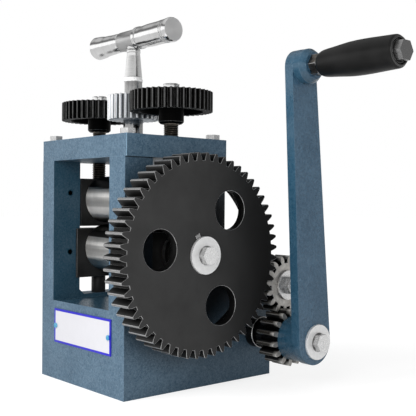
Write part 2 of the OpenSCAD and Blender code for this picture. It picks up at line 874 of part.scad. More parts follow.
module gear_washer() {
  end_washer(big_gear_front_x, 0, lower_z, gear_washer_r, gear_washer_t, end_bolt_r);
}

module gear_bolt() {
  end_bolt(big_gear_front_x + gear_washer_t, 0, lower_z, gear_washer_t + shaft_short + end_bolt_len, 0);
}

module idler_stud() {
  color("silver") {
    x_rod(stud_journal_r, frame_x1 - stud_root, frame_x1, idler_y, idler_z);
    x_rod(stud_r, frame_x1, idler_x - run_gap, idler_y, idler_z);
    x_rod(stud_journal_r, idler_x - run_gap, idler_washer_x, idler_y, idler_z);
    x_rod(stud_thread_r, idler_washer_x, idler_washer_x + idler_washer_t + idler_nut_t + stud_tip,
      idler_y, idler_z);
  }
}
idler_washer_x = idler_x + idler_w + run_gap;

module idler_washer() {
  end_washer(idler_washer_x, idler_y, idler_z, idler_washer_r, idler_washer_t, stud_thread_r);
}

module idler_nut() {
  color("silver")
  along_x(idler_washer_x + idler_washer_t, idler_y, idler_z) linear_extrude(idler_nut_t)
  difference() {
    hexagon(idler_nut_af);
    circle(r = stud_thread_r);
  }
}

module idler_gear() {
  color("#77716a")
  along_x(idler_x, idler_y, idler_z) linear_extrude(idler_w)
  difference() {
    gear_shape(idler_teeth, train_module, idler_phase);
    circle(r = stud_journal_r + shaft_gap);
  }
}

module crank_bush() {
  color("silver")
  along_x(frame_x1 - base_wall, crank_y, crank_z) linear_extrude(base_wall + crank_bush_proud)
  difference() {
    circle(r = crank_bush_r);
    circle(r = crank_shaft_r + shaft_gap);
  }
}

module crank_pinion() {
  shaft_end = arm_front_x - shaft_short;
  color("#77716a")
  difference() {
    union() {
      x_rod(crank_shaft_r, collar_x, shaft_end, crank_y, crank_z);
      x_rod(pinion_hub_r, pinion_x - pinion_hub_t, pinion_x, crank_y, crank_z);
      along_x(pinion_x, crank_y, crank_z) linear_extrude(pinion_w)
        gear_shape(pinion_teeth, train_module, pinion_phase);
    }
    x_rod(end_bolt_r, shaft_end - end_bolt_len, shaft_end + over, crank_y, crank_z);
  }
}

module shaft_collar() {
  color("dimgray")
  along_x(collar_x, crank_y, crank_z) linear_extrude(shaft_collar_t)
  difference() {
    circle(r = shaft_collar_r);
    circle(r = crank_shaft_r);
  }
}

// The crank

// The arm's outline: two round ends joined by straight sides, standing up from the shaft
module arm_outline() {
  reach = norm([arm_low_set, crank_len]);
  side = asin((arm_low_r - arm_top_r) / reach);
  translate([-arm_low_set, 0]) rotate(-atan(arm_low_set / crank_len)) union() {
    circle(r = arm_low_r);
    translate([0, reach]) circle(r = arm_top_r);
    polygon([
      arm_low_r * [cos(side), sin(side)],
      [0, reach] + arm_top_r * [cos(side), sin(side)],
      [0, reach] + arm_top_r * [-cos(side), sin(side)],
      arm_low_r * [-cos(side), sin(side)]
    ]);
  }
}

module crank_arm() {
  color("steelblue")
  difference() {
    union() {
      x_rod(boss_r, boss_x, arm_x, crank_y, crank_z);
      along_x(arm_x, crank_y, crank_z) linear_extrude(arm_t) rotate(crank_lean) arm_outline();
      x_rod(top_boss_r, arm_front_x, arm_front_x + top_boss_len, handle_y, handle_z);
      along_x(arm_front_x + top_boss_len, handle_y, handle_z)
        cylinder(r1 = top_boss_r, r2 = top_nose_r, h = top_nose_len);
    }
    x_rod(crank_shaft_r, boss_x - over, arm_front_x + over, crank_y, crank_z);
    x_rod(handle_bolt_r, arm_x - over, nose_x + over, handle_y, handle_z);
  }
}

module crank_washer() {
  end_washer(arm_front_x, crank_y, crank_z, crank_washer_r, crank_washer_t, end_bolt_r);
}

module crank_bolt() {
  end_bolt(arm_front_x + crank_washer_t, crank_y, crank_z,
    crank_washer_t + shaft_short + end_bolt_len, crank_lean);
}

module handle_bolt() {
  color("dimgray")
  union() {
    x_rod(handle_bolt_r, arm_x, handle_head_x, handle_y, handle_z);
    along_x(handle_head_x, handle_y, handle_z) linear_extrude(handle_head_t) hexagon(handle_head_af);
  }
}

module handle_nut() {
  color("silver")
  along_x(nose_x, handle_y, handle_z) linear_extrude(handle_nut_t)
  difference() {
    hexagon(handle_nut_af);
    circle(r = handle_bolt_r);
  }
}

module handle_washer() {
  end_washer(grip_washer_x, handle_y, handle_z, grip_washer_r, grip_washer_t, handle_bolt_r);
}

module hand_grip() {
  grip_r = grip_d / 2;
  body = turned(grip_shares, 4);
  color("#222222")
  along_x(grip_x, handle_y, handle_z)
  rotate_extrude()
  polygon([
    [handle_bolt_r + shaft_gap, 0],
    for (p = body) [p[1] * grip_r, p[0] * grip_len],
    [grip_rim_share * grip_r, grip_len],
    [grip_recess_r, grip_len],
    [grip_recess_r, grip_len - grip_recess],
    [handle_bolt_r + shaft_gap, grip_len - grip_recess]
  ]);
}

// The adjusting works

module adjusting_screw(x) {
  color("dimgray")
  difference() {
    translate([x, 0, 0]) union() {
      translate([0, 0, foot_z0]) cylinder(r = foot_r, h = foot_t);
      translate([0, 0, foot_z0]) cylinder(r = screw_r, h = hub_z - foot_z0);
      translate([0, 0, hub_z]) cylinder(r = screw_seat_r, h = top_gear_top_z - hub_z);
    }
    translate([x, 0, top_gear_top_z - screw_tap_len]) cylinder(r = screw_tap_r, h = screw_tap_len + over);
  }
}

// A gear with its rim and web hollowed from below round the hub
module top_gear(x, phase) {
  root = top_r - dedendum_share * top_module;
  color("#28282a")
  translate([x, 0, 0])
  difference() {
    union() {
      translate([0, 0, top_gear_z]) linear_extrude(top_gear_w) gear_shape(top_teeth, top_module, phase);
      translate([0, 0, hub_z]) cylinder(r1 = top_hub_r - top_hub_chamfer, r2 = top_hub_r, h = top_hub_chamfer);
      translate([0, 0, hub_z + top_hub_chamfer]) cylinder(r = top_hub_r, h = top_hub_len - top_hub_chamfer);
    }
    translate([0, 0, top_gear_z - over]) linear_extrude(top_gear_w - top_web + over)
    difference() {
      circle(r = root - top_rim);
      circle(r = top_hub_r);
    }
    translate([0, 0, hub_z - over]) cylinder(r = screw_seat_r, h = top_gear_top_z - hub_z + 2 * over);
  }
}

// A slotted screw that holds the gear down on its seat
module cap_screw(x, turn) {
  color("silver")
  translate([x, 0, top_gear_top_z])
  difference() {
    union() {
      cylinder(r = cap_screw_r, h = cap_screw_t);
      translate([0, 0, -screw_tap_len]) cylinder(r = screw_tap_r, h = screw_tap_len);
    }
    rotate(turn)
      translate([-cap_screw_r - over, -driver_slot_w / 2, cap_screw_t - driver_slot_t])
        cube([2 * cap_screw_r + 2 * over, driver_slot_w, driver_slot_t + over]);
  }
}

module left_screw() {
  adjusting_screw(-screw_x);
}

module right_screw() {
  adjusting_screw(screw_x);
}

module left_top_gear() {
  top_gear(-screw_x, left_phase);
}

module right_top_gear() {
  top_gear(screw_x, right_phase);
}

module left_cap_screw() {
  cap_screw(-screw_x, left_slot_turn);
}

module right_cap_screw() {
  cap_screw(screw_x, right_slot_turn);
}

// The stem and its T handle

module stem_bush() {
  color("peru")
  translate([0, 0, cheek_top_z + retainer_pocket]) linear_extrude(cap_t - retainer_pocket)
  difference() {
    circle(r = stem_bush_r);
    circle(r = stem_journal_r + shaft_gap);
  }
}

module t_stem() {
  color("silver")
  difference() {
    union() {
      rotate_extrude() polygon([
        [0, cheek_top_z + run_gap],
        [stem_journal_r, cheek_top_z + run_gap],
        [stem_journal_r, stem_z],
        [stem_low_r, stem_z],
        [stem_low_r, mid_pinion_z],
        [stem_seat_r, mid_pinion_z],
        [stem_seat_r, ring_z],
        [stem_ring_r, ring_z],
        [stem_ring_r, taper_z],
        [taper_low_r, taper_z],
        [taper_top_r, neck_z],
        [neck_ring_r, neck_z],
        [neck_ring_r, neck_z + neck_ring_t],
        [taper_top_r, neck_z + neck_ring_t],
        [taper_top_r, bar_z],
        [0, bar_z]
      ]);
      x_rod(sleeve_r, -sleeve_left, sleeve_right, 0, bar_z);
    }
    x_rod(spigot_r, -sleeve_left - over, sleeve_right + over, 0, bar_z);
  }
}

module centre_pinion() {
  color("silver")
  translate([0, 0, mid_pinion_z]) linear_extrude(mid_pinion_w)
  difference() {
    gear_shape(mid_teeth, top_module, mid_phase);
    circle(r = stem_seat_r);
  }
}

// The ring under the cap plate that keeps the stem from lifting out
module stem_retainer() {
  color("dimgray")
  translate([0, 0, cheek_top_z + run_gap]) linear_extrude(retainer_t)
  difference() {
    circle(r = retainer_r);
    circle(r = stem_journal_r);
  }
}

// A turned grip from x, outwards, with its spigot in the sleeve
module bar_grip(shares, r, len) {
  rotate_extrude() polygon(concat(
    [[0, 0]],
    [for (p = turned(shares, 3)) [p[1] * r, p[0] * len]],
    [[bar_end_share * r, len], [0, len]]
  ));
}

module t_grip_right() {
  color("silver")
  union() {
    along_x(sleeve_right, 0, bar_z) bar_grip(right_grip_shares, bar_right_r, bar_half - sleeve_right);
    x_rod(bead_r, sleeve_right, sleeve_right + bead_t, 0, bar_z);
    x_rod(spigot_r, 0, sleeve_right, 0, bar_z);
  }
}

module t_grip_left() {
  color("silver")
  union() {
    translate([-sleeve_left, 0, bar_z]) rotate([0, -90, 0])
      bar_grip(left_grip_shares, bar_left_r, bar_half - sleeve_left);
    x_rod(spigot_r, -sleeve_left, 0, 0, bar_z);
  }
}

frame_casting();
cap_plate();
cap_bolts();
front_plate();
plate_screws();
lower_block_left();
lower_block_right();
lower_bush_left();
lower_bush_right();
support_post_left();
support_post_right();
stem_bush();
crank_bush();
idler_stud();
idler_washer();
idler_nut();
idler_gear();
lower_roll();
gear_spacer();
big_gear();
gear_key();
gear_washer();
gear_bolt();
crank_pinion();
shaft_collar();
crank_arm();
crank_washer();
crank_bolt();
handle_bolt();
handle_nut();
handle_washer();
hand_grip();
upper_block_left();
upper_block_right();
upper_bush_left();
upper_bush_right();
upper_roll();
left_screw();
left_top_gear();
left_cap_screw();
right_screw();
right_top_gear();
right_cap_screw();
t_stem();
centre_pinion();
stem_retainer();
t_grip_left();
t_grip_right();
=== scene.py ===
# %% [markdown]
# # Dressing a jeweller's rolling mill
# The mill is a blue cast frame with two polished rolls, a train of gears at its side, a crank, and a
# T handle on top that screws the upper roll down. Its shapes come from the CAD model, so this lesson
# is mostly about finishes, edges, turned details and light. First the imported model is loaded as a
# fixed frame: each CAD piece arrives as an object that stays where it is, and is only dressed or
# replaced. Everything is in metres: X runs to the right, Y to the rear and Z up.

# %% Load the imported mill
import bpy
import math
from mathutils import Matrix, Vector


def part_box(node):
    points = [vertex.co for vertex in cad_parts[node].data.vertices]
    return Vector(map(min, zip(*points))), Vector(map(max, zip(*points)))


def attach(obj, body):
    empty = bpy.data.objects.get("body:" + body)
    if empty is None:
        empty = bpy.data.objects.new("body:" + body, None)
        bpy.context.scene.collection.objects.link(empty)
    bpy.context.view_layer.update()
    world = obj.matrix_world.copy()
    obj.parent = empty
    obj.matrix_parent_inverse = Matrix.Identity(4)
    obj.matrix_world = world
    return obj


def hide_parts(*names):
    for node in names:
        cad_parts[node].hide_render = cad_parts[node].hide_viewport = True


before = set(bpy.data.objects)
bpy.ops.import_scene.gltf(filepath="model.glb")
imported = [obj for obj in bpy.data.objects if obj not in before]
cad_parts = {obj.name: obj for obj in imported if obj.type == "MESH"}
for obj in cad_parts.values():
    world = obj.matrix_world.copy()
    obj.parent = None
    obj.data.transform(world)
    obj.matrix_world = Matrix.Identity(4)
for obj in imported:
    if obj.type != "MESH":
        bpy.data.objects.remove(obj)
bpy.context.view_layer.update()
X, Y, Z = range(3)

# %% [markdown]
# ## The camera
# A product photograph has one viewpoint, and everything is judged from it. The lens and place below
# were worked out from the corners of the cap plate and the base. Building the camera first means
# that every later choice can be checked against the picture. The angles are turned into three axes
# by hand, because a camera looks along its own minus Z with Y up, and writing that once makes it
# clear.

# %% Place the camera
camera_place = (0.66918, -0.47702, 0.18499)
camera_angles = (48.973, -0.35, 0.409)
sensor_width = 36  # millimetres
picture_width, focal_length = 416, 776.88  # pixels


def look_axes(turn, tilt, lean):
    """Right, up and forward for a camera, from a turn to the left of +Y, a tilt up and a lean."""
    t, e, r = (math.radians(a) for a in (turn, tilt, lean))
    forward = Vector((-math.sin(t) * math.cos(e), math.cos(t) * math.cos(e), math.sin(e)))
    level = Vector((math.cos(t), math.sin(t), 0))
    up = level.cross(forward)
    right = math.cos(r) * level + math.sin(r) * up
    return right, math.cos(r) * up - math.sin(r) * level, forward


right, up, forward = look_axes(*camera_angles)
camera = bpy.data.objects.new("camera", bpy.data.cameras.new("camera"))
bpy.context.scene.collection.objects.link(camera)
axes = Matrix((right, up, -forward)).transposed().to_4x4()
camera.matrix_world = Matrix.Translation(camera_place) @ axes
camera.data.sensor_width = sensor_width
camera.data.lens = focal_length / picture_width * sensor_width
camera.data.clip_start = 0.01
camera.data.clip_end = 50
bpy.context.scene.camera = camera
bpy.context.scene.view_settings.view_transform = "Standard"
print("lens:", round(camera.data.lens, 2), "mm")

# %% [markdown]
# ## Building node trees in few words
# Every finish below is a small tree of shader nodes. Typing each node's creation and links is long,
# so one helper makes a node, sets its plain values and links its inputs in one go. A plain value
# goes on the socket itself, and only what varies over the surface comes in through a link.

# %% Helpers that make nodes
def node_maker(tree):
    """A function add(kind, inputs, **settings) for a tree. Inputs that are sockets are linked."""
    def add(kind, inputs=None, **settings):
        made = tree.nodes.new(kind)
        for key, value in settings.items():
            setattr(made, key, value)
        for key, value in (inputs or {}).items():
            if isinstance(value, bpy.types.NodeSocket):
                tree.links.new(value, made.inputs[key])
            else:
                made.inputs[key].default_value = value
        return made
    return add


def new_finish(name):
    """An empty material and the function that adds nodes to it."""
    finish = bpy.data.materials.new(name)
    finish.use_nodes = True
    finish.node_tree.nodes.clear()
    return finish, node_maker(finish.node_tree)


def mix_shaders(add, share, first, second):
    """A shader that goes from first to second as share goes from 0 to 1."""
    return add("ShaderNodeMixShader", {0: share, 1: first.outputs[0], 2: second.outputs[0]})


print("node helpers ready")

# %% [markdown]
# ## Sums in nodes
# A finish is mostly arithmetic: two numbers are multiplied, or a number is stretched from one range
# to another. Each helper below is one node with a plain name, so that a finish reads like a recipe.

# %% Helpers for sums
def work_out(add, operation, first, second=0.0):
    """One sum of two numbers, or of one."""
    return add("ShaderNodeMath", {0: first, 1: second}, operation=operation).outputs[0]


def spread(add, value, low, high, to_low=0.0, to_high=1.0):
    """Value moved from the range low to high into another range, and held inside it."""
    return add("ShaderNodeMapRange", {"Value": value, "From Min": low, "From Max": high,
                                      "To Min": to_low, "To Max": to_high}).outputs[0]


def mix_numbers(add, share, first, second):
    """A number that goes from first to second as share goes from 0 to 1."""
    return add("ShaderNodeMix", {0: share, 2: first, 3: second}, data_type="FLOAT").outputs[0]


print("helpers for sums ready")

# %% [markdown]
# ## Colours in nodes
# Colours are mixed in two ways here. One colour fades into another by a share between 0 and 1, as a
# stain covers paint, or two colours are multiplied, as light passes two films. A ramp picks a
# colour by a number, and its stops say which colour stands at which number.

# %% Helpers for colours
def grey(v):
    """A grey as a colour."""
    return (v, v, v, 1)


def ramp(add, value, stops):
    """A colour ramp over value. Stops are pairs of a place and a colour."""
    made = add("ShaderNodeValToRGB", {"Fac": value})
    while len(made.color_ramp.elements) < len(stops):
        made.color_ramp.elements.new(0.5)
    for element, (place, colour) in zip(made.color_ramp.elements, stops):
        element.position = place
        element.color = colour
    return made.outputs["Color"]


def mix_colours(add, share, first, second):
    """A colour that goes from first to second as share goes from 0 to 1."""
    return add("ShaderNodeMix", {0: share, 6: first, 7: second}, data_type="RGBA").outputs[2]


def multiply_colours(add, first, second):
    """Two colours multiplied, as two films of paint are."""
    return add("ShaderNodeMix", {0: 1.0, 6: first, 7: second},
               data_type="RGBA", blend_type="MULTIPLY").outputs[2]


print("helpers for colours ready")

# %% [markdown]
# ## The studio
# The photograph was taken in a white studio with soft light from all round and a large lamp at the
# left front. Polished metal only looks like metal when it has something dark to mirror, so a
# photographer sets black cards beside it. Here the cards are part of the world, and only mirrored
# rays see them. Round the horizon the world is white from the left by the front to the right, has a
# narrow black card at the right, and is grey behind. Higher up it darkens to a deep band, and
# straight above it is grey again. The camera sees plain white.

# %% The world
world = bpy.data.worlds.new("studio")
bpy.context.scene.world = world
world.use_nodes = True
world.node_tree.nodes.clear()
add = node_maker(world.node_tree)
around = add("ShaderNodeTexCoord").outputs["Generated"]
way = add("ShaderNodeSeparateXYZ", {0: around}).outputs
bearing = work_out(add, "ARCTAN2", way["Y"], way["X"])
cards = ramp(add, spread(add, bearing, -math.pi, math.pi), [
    (0.0, grey(0.95)), (0.04, grey(1.0)), (0.48, grey(1.0)), (0.515, grey(0.06)),
    (0.545, grey(0.05)), (0.575, grey(0.5)), (0.86, grey(0.5)), (1.0, grey(0.95))])
ceiling = ramp(add, way["Z"], [
    (0.0, grey(1)), (0.31, grey(1)), (0.38, grey(0.3)), (0.45, grey(0.12)),
    (0.53, grey(0.14)), (0.60, grey(0.45)), (1.0, grey(0.6))])
mirror_light = add("ShaderNodeBackground", {
    "Color": multiply_colours(add, cards, ceiling), "Strength": 1.2})
fill_light = add("ShaderNodeBackground", {
    "Color": grey(1), "Strength": spread(add, way["X"], -1.0, 1.0, 0.6, 0.58)})
white_back = add("ShaderNodeBackground", {"Color": grey(1), "Strength": 1.0})
rays = add("ShaderNodeLightPath").outputs
straight = work_out(add, "MAXIMUM", rays["Is Camera Ray"], rays["Is Transmission Ray"])
for_metal = mix_shaders(add, rays["Is Glossy Ray"], fill_light, mirror_light)
for_eye = mix_shaders(add, straight, for_metal, white_back)
add("ShaderNodeOutputWorld", {"Surface": for_eye.outputs[0]})
print("world ready")

# %% [markdown]
# ## The lamps
# The key is a sun lamp with a wide angle, which gives soft light without a visible lamp shape. It
# comes from the left front and above. A small disc lamp stands near the right front, so the gear
# side is not dull and its brightness falls off towards the rear. Neither lamp is mirrored in metal:
# what polished steel shows is the world with its cards, as in a studio with large diffusers.

# %% Two lamps
def place_lamp(name, kind, energy, shines):
    """A lamp that shines in this direction and isn't mirrored."""
    lamp = bpy.data.objects.new(name, bpy.data.lights.new(name, kind))
    lamp.data.energy = energy
    lamp.rotation_euler = Vector(shines).to_track_quat("-Z", "Y").to_euler()
    lamp.visible_glossy = False
    bpy.context.scene.collection.objects.link(lamp)
    return lamp


key_lamp = place_lamp("key_lamp", "SUN", 2.65, (0.34, 1.0, -0.5))
key_lamp.data.angle = math.radians(35)
side_place, side_aim = Vector((0.36, -0.36, 0.31)), Vector((0.08, 0.02, 0.12))
side_lamp = place_lamp("side_lamp", "AREA", 1.55, side_aim - side_place)
side_lamp.data.shape = "DISK"
side_lamp.data.size = 0.3
side_lamp.location = side_place
print("lamps ready")

# %% [markdown]
# ## Places on a piece
# Real finishes follow the shape, so a finish has to know where on the mill a point is. Each CAD
# piece keeps its place in its mesh, so its own coordinates are metres in the mill's frame. Round
# pieces need one more measure: how far a point is from the line that the piece turns about.

# %% Helpers for places
def own_place(add):
    """The point's place on its own piece, in metres."""
    return add("ShaderNodeTexCoord").outputs["Object"]


def coordinate(add, place, axis):
    """One coordinate of a place or a direction."""
    return add("ShaderNodeSeparateXYZ", {0: place}).outputs[axis]


def distance_round(add, place, axis, centre):
    """How far a point is from the line along an axis through centre."""
    keep = tuple(0.0 if i == axis else 1.0 for i in range(3))
    foot = tuple(c * k for c, k in zip(centre, keep))
    flat = add("ShaderNodeVectorMath", {0: place, 1: keep}, operation="MULTIPLY").outputs[0]
    off = add("ShaderNodeVectorMath", {0: flat, 1: foot}, operation="SUBTRACT").outputs[0]
    return add("ShaderNodeVectorMath", {0: off}, operation="LENGTH").outputs["Value"]


print("place helpers ready")

# %% [markdown]
# ## Masks from the shape
# A gear is rubbed bright on the tips of its teeth and stays black between them, and a seam collects
# dirt. A mask is a number that is 1 where such a thing is and 0 elsewhere. Its step is soft over a
# fraction of a millimetre, because a hard one would look cut out.

# %% Helpers for masks
def beyond(add, value, limit, soft=0.0002):
    """1 where value is over the limit, 0 below it, with a soft step."""
    return spread(add, value, limit - soft, limit + soft)


def between(add, value, low, high):
    """1 where value is between low and high."""
    return work_out(add, "SUBTRACT", beyond(add, value, low), beyond(add, value, high))


def opposite(add, share):
    """1 where share is 0, and 0 where it is 1."""
    return work_out(add, "SUBTRACT", 1.0, share)


def facing(add, axis):
    """1 where the surface faces along this axis, either way, and 0 elsewhere."""
    normal = add("ShaderNodeNewGeometry").outputs["Normal"]
    size = work_out(add, "ABSOLUTE", coordinate(add, normal, axis))
    return beyond(add, size, 0.85, 0.08)


print("mask helpers ready")

# %% [markdown]
# ## The floor
# The photograph's floor is white with a faint shadow under the mill. The floor is pale paper, and
# for the camera it glows a little by itself, which lifts it to white and keeps the shadow as faint
# as it should be. The mill is lit by the paper alone. Its metal mirrors the paper for a third of a
# metre round, and a slightly darker table beyond it.

# %% The floor
reach = 8
corners = [(-reach, -reach, 0), (reach, -reach, 0), (reach, reach, 0), (-reach, reach, 0)]
floor_mesh = bpy.data.meshes.new("floor")
floor_mesh.from_pydata(corners, [], [(0, 1, 2, 3)])
floor = bpy.data.objects.new("floor", floor_mesh)
bpy.context.scene.collection.objects.link(floor)
floor_paper, add = new_finish("floor_paper")
rays = add("ShaderNodeLightPath").outputs
paper = add("ShaderNodeBsdfDiffuse", {"Color": grey(0.8)})
table = add("ShaderNodeBsdfDiffuse", {"Color": grey(0.7)})
faint = add("ShaderNodeBsdfDiffuse", {"Color": grey(0.3)})
glow = add("ShaderNodeEmission", {"Color": grey(1), "Strength": 0.77})
glowing = add("ShaderNodeAddShader", {0: faint.outputs[0], 1: glow.outputs[0]})
from_mill = distance_round(add, own_place(add), Z, (0.0, 0.0, 0.0))
past_paper = spread(add, from_mill, 0.34, 0.42)
mirrored = work_out(add, "MULTIPLY", past_paper, rays["Is Glossy Ray"])
lit = mix_shaders(add, mirrored, paper, table)
seen = mix_shaders(add, rays["Is Camera Ray"], lit, glowing)
add("ShaderNodeOutputMaterial", {"Surface": seen.outputs[0]})
floor_mesh.materials.append(floor_paper)
print("floor ready")

# %% [markdown]
# ## Noise, dimples and a skin
# No surface is even, so every finish starts with a noise: a cloudy number that stays mostly between
# 0.3 and 0.7. It shifts the tone, varies the gloss, and dents the surface a little. The skin is
# Blender's one shader for nearly everything, from paint to steel.

# %% Helpers for skins
def noise(add, place, scale, detail, roughness):
    """A cloudy number. The larger the scale, the finer the cloud."""
    return add("ShaderNodeTexNoise", {"Vector": place, "Scale": scale, "Detail": detail,
                                      "Roughness": roughness}).outputs["Fac"]


def vary(add, cloud, low, high):
    """A number that a noise moves between low and high."""
    return spread(add, cloud, 0.3, 0.7, low, high)


def dimples(add, height, strength, deep=0.0002):
    """Small dents, at most this deep."""
    return add("ShaderNodeBump", {"Height": height, "Strength": strength,
                                  "Distance": deep}).outputs[0]


def skin(add, tone, gloss, more):
    """A surface of this tone and roughness. More holds the shader's other inputs by name."""
    return add("ShaderNodeBsdfPrincipled", {"Base Color": tone, "Roughness": gloss, **more})


def show(add, surface):
    """Makes this the shader that the finish shows."""
    add("ShaderNodeOutputMaterial", {"Surface": surface.outputs[0]})


print("skin helpers ready")

# %% [markdown]
# ## The blue paint
# The casting, the cap plate and the crank share one hammered blue paint: a deep teal with a satin
# skin. It is speckled at about one millimetre and mottled at about three, both as tone and as dents.
# A slower noise lets the colour drift, as brushed-on paint does. The same recipe in paler tones goes
# on the paint's rounded edges as a painted highlight.

# %% Hammered blue paint
def mix_paint(add, place, low, high):
    """The tone of the paint, speckled between low and high, with its drift and its speckle."""
    drift = noise(add, place, 30.0, 3.0, 0.6)
    mottle = noise(add, place, 420.0, 2.0, 0.6)
    speckle = mix_numbers(add, 0.6, mottle, noise(add, place, 1000.0, 2.0, 0.7))
    tone = ramp(add, mix_numbers(add, 0.8, drift, speckle), [(0.375, low), (0.625, high)])
    return tone, drift, speckle


def paint_skin(add, tone, gloss, speckle, shine=0.45, coat=0.0):
    """Shows satin paint, dented by its speckle."""
    show(add, skin(add, tone, gloss, {
        "Normal": dimples(add, speckle, 0.7, 0.0007), "Specular IOR Level": shine,
        "Coat Weight": coat, "Coat Roughness": 0.12}))


def satin_gloss(add, drift):
    """The roughness of the paint where nothing has changed it."""
    return vary(add, drift, 0.36, 0.48)


def plain_paint(name, low, high):
    """The paint as it left the brush."""
    finish, add = new_finish(name)
    tone, drift, speckle = mix_paint(add, own_place(add), low, high)
    paint_skin(add, tone, satin_gloss(add, drift), speckle)
    return finish


paint_low, paint_high = (0.014, 0.049, 0.087, 1), (0.092, 0.149, 0.203, 1)
cap_paint = plain_paint("cap_paint", paint_low, paint_high)
# Paler paint for the rounded edges: a painted highlight.
edge_highlight_paint = plain_paint("edge_highlight_paint", (0.10, 0.18, 0.25, 1), (0.17, 0.26, 0.34, 1))
print("cap paint ready")

# %% [markdown]
# ## The crank's paint
# The crank is handled, so its paint is glossier, with a thin clear coat. Its narrow faces are painted
# darker, a painted shade for the light that reaches them less. Those are the faces that don't look
# along X.

# %% Paint of the crank
def crank_paint(name, low, high, narrow_face_shade):
    """Glossy paint with painted shade on the crank's narrow faces, half way to the shade tone."""
    finish, add = new_finish(name)
    tone, drift, speckle = mix_paint(add, own_place(add), low, high)
    # Painted shade: the narrow faces go half way to a darker tone.
    shaded_narrow_faces = work_out(add, "MULTIPLY", opposite(add, facing(add, X)), 0.5)
    tone = mix_colours(add, shaded_narrow_faces, tone, narrow_face_shade)
    paint_skin(add, tone, vary(add, drift, 0.2, 0.32), speckle, coat=0.3)
    return finish


# The last colour is the painted shade of the crank's narrow faces.
arm_paint = crank_paint("arm_paint", (0.004, 0.040, 0.082, 1), (0.060, 0.130, 0.202, 1),
                        (0.006, 0.034, 0.056, 1))
print("crank paint ready")

# %% [markdown]
# ## Painted shade on the casting
# Two places on the casting's right face are painted darker: the seam under the cap plate's overhang,
# as a painted shadow, and the ring behind the big gear, as painted shade where little light comes.
# Each is a mask made from its place, and both stop at the face's edge.

# %% Masks for the right face
right_face, seam_height = 0.0752, 0.2278
roll_height = 0.136
shade_full, shade_none = 0.070, 0.118


def painted_seam_shadow(add, place):
    """1 on the right face, over the seam, where the painted shadow goes."""
    over = beyond(add, coordinate(add, place, Z), seam_height)
    past = beyond(add, coordinate(add, place, X), right_face)
    return work_out(add, "MULTIPLY", over, past)


def painted_gear_shade(add, place):
    """1 on the right face round the roll's axis, and fading outwards: the painted shade's mask."""
    from_axis = distance_round(add, place, X, (0.0, 0.0, roll_height))
    near = spread(add, from_axis, shade_full, shade_none, 1.0, 0.0)
    return work_out(add, "MULTIPLY", near, beyond(add, coordinate(add, place, X), right_face))


# The painted shade behind the big gear fades out at this distance from the roll's axis.
print("grease fades out", shade_none * 1000, "mm from the roll's axis")

# %% [markdown]
# ## Inside the casting
# The two guide holes are painted black, as painted shade, and inside the opening the paint lies
# smoother, mirrors more, and is painted darker as painted shade. The opening's walls face along X, as
# the outer faces do, so the mask takes all such faces and leaves out those further from the middle.
# The deck is the level floor of the opening.

# %% Masks for the opening
hole_y, hole_heights, hole_radius, hole_bottom = -0.0425, (0.132, 0.195), 0.0033, 0.068
opening_half, deck_height, deck_within = 0.0552, 0.082, 0.0006


def off_the_holes(add, place):
    """0 in the guide holes and 1 elsewhere."""
    size = work_out(add, "ABSOLUTE", coordinate(add, place, X))
    away = []
    for height in hole_heights:
        from_axis = distance_round(add, place, X, (0.0, hole_y, height))
        outside = beyond(add, from_axis, hole_radius, 0.0003)
        away.append(work_out(add, "MAXIMUM", outside, beyond(add, size, hole_bottom)))
    return work_out(add, "MINIMUM", *away)


def in_the_opening(add, place):
    """Two masks: 1 on the opening's walls and deck, and 1 on the deck alone."""
    size = work_out(add, "ABSOLUTE", coordinate(add, place, X))
    outer = work_out(add, "MULTIPLY", beyond(add, size, opening_half), facing(add, X))
    walls = work_out(add, "SUBTRACT", facing(add, X), outer)
    off_deck = work_out(add, "SUBTRACT", coordinate(add, place, Z), deck_height)
    off_deck = beyond(add, work_out(add, "ABSOLUTE", off_deck), deck_within)
    deck = work_out(add, "MULTIPLY", opposite(add, off_deck), facing(add, Z))
    return work_out(add, "MAXIMUM", walls, deck), deck


print("guide holes at heights", hole_heights)

# %% [markdown]
# ## The casting's paint
# The masks lay their painted shade over the paint one after another. In the holes the shine goes as
# well, so they stay black, as painted shade.

# %% Paint of the casting
def casting_paint(name, low, high):
    """Hammered paint with painted shade at the seam, behind the big gear, in the guide holes and
    inside the opening, which is also smoother.
    """
    finish, add = new_finish(name)
    place = own_place(add)
    tone, drift, speckle = mix_paint(add, place, low, high)
    # Painted shadow under the cap plate's overhang, then painted shade behind the big gear.
    tone = mix_colours(add, painted_seam_shadow(add, place), tone, (0.002, 0.003, 0.005, 1))
    tone = mix_colours(add, painted_gear_shade(add, place), tone, (0.001, 0.005, 0.010, 1))
    away = off_the_holes(add, place)
    # Painted shade: the guide holes are black.
    tone = mix_colours(add, away, grey(0.0), tone)
    smooth, deck = in_the_opening(add, place)
    # Painted shade inside the opening: its walls and deck are darker.
    inside_shade = work_out(add, "MULTIPLY", smooth, 0.62)
    tone = mix_colours(add, inside_shade, tone, (0.006, 0.038, 0.062, 1))
    wall_or_deck = mix_numbers(add, deck, 0.24, 0.13)
    gloss = mix_numbers(add, smooth, satin_gloss(add, drift), wall_or_deck)
    paint_skin(add, tone, gloss, speckle, shine=mix_numbers(add, away, 0.0, 0.45))
    return finish


frame_paint = casting_paint("frame_paint", paint_low, paint_high)
print("casting paint ready")

# %% [markdown]
# ## Marks of the lathe
# The rolls, the stem and the T bar were turned and ground, so fine grooves run round them. Such a
# surface blurs what it mirrors along its length and stays sharp across it, which makes it read as
# steel. In the shader that is anisotropy: the blur follows a direction that runs round the piece's
# axis, turned by a quarter.

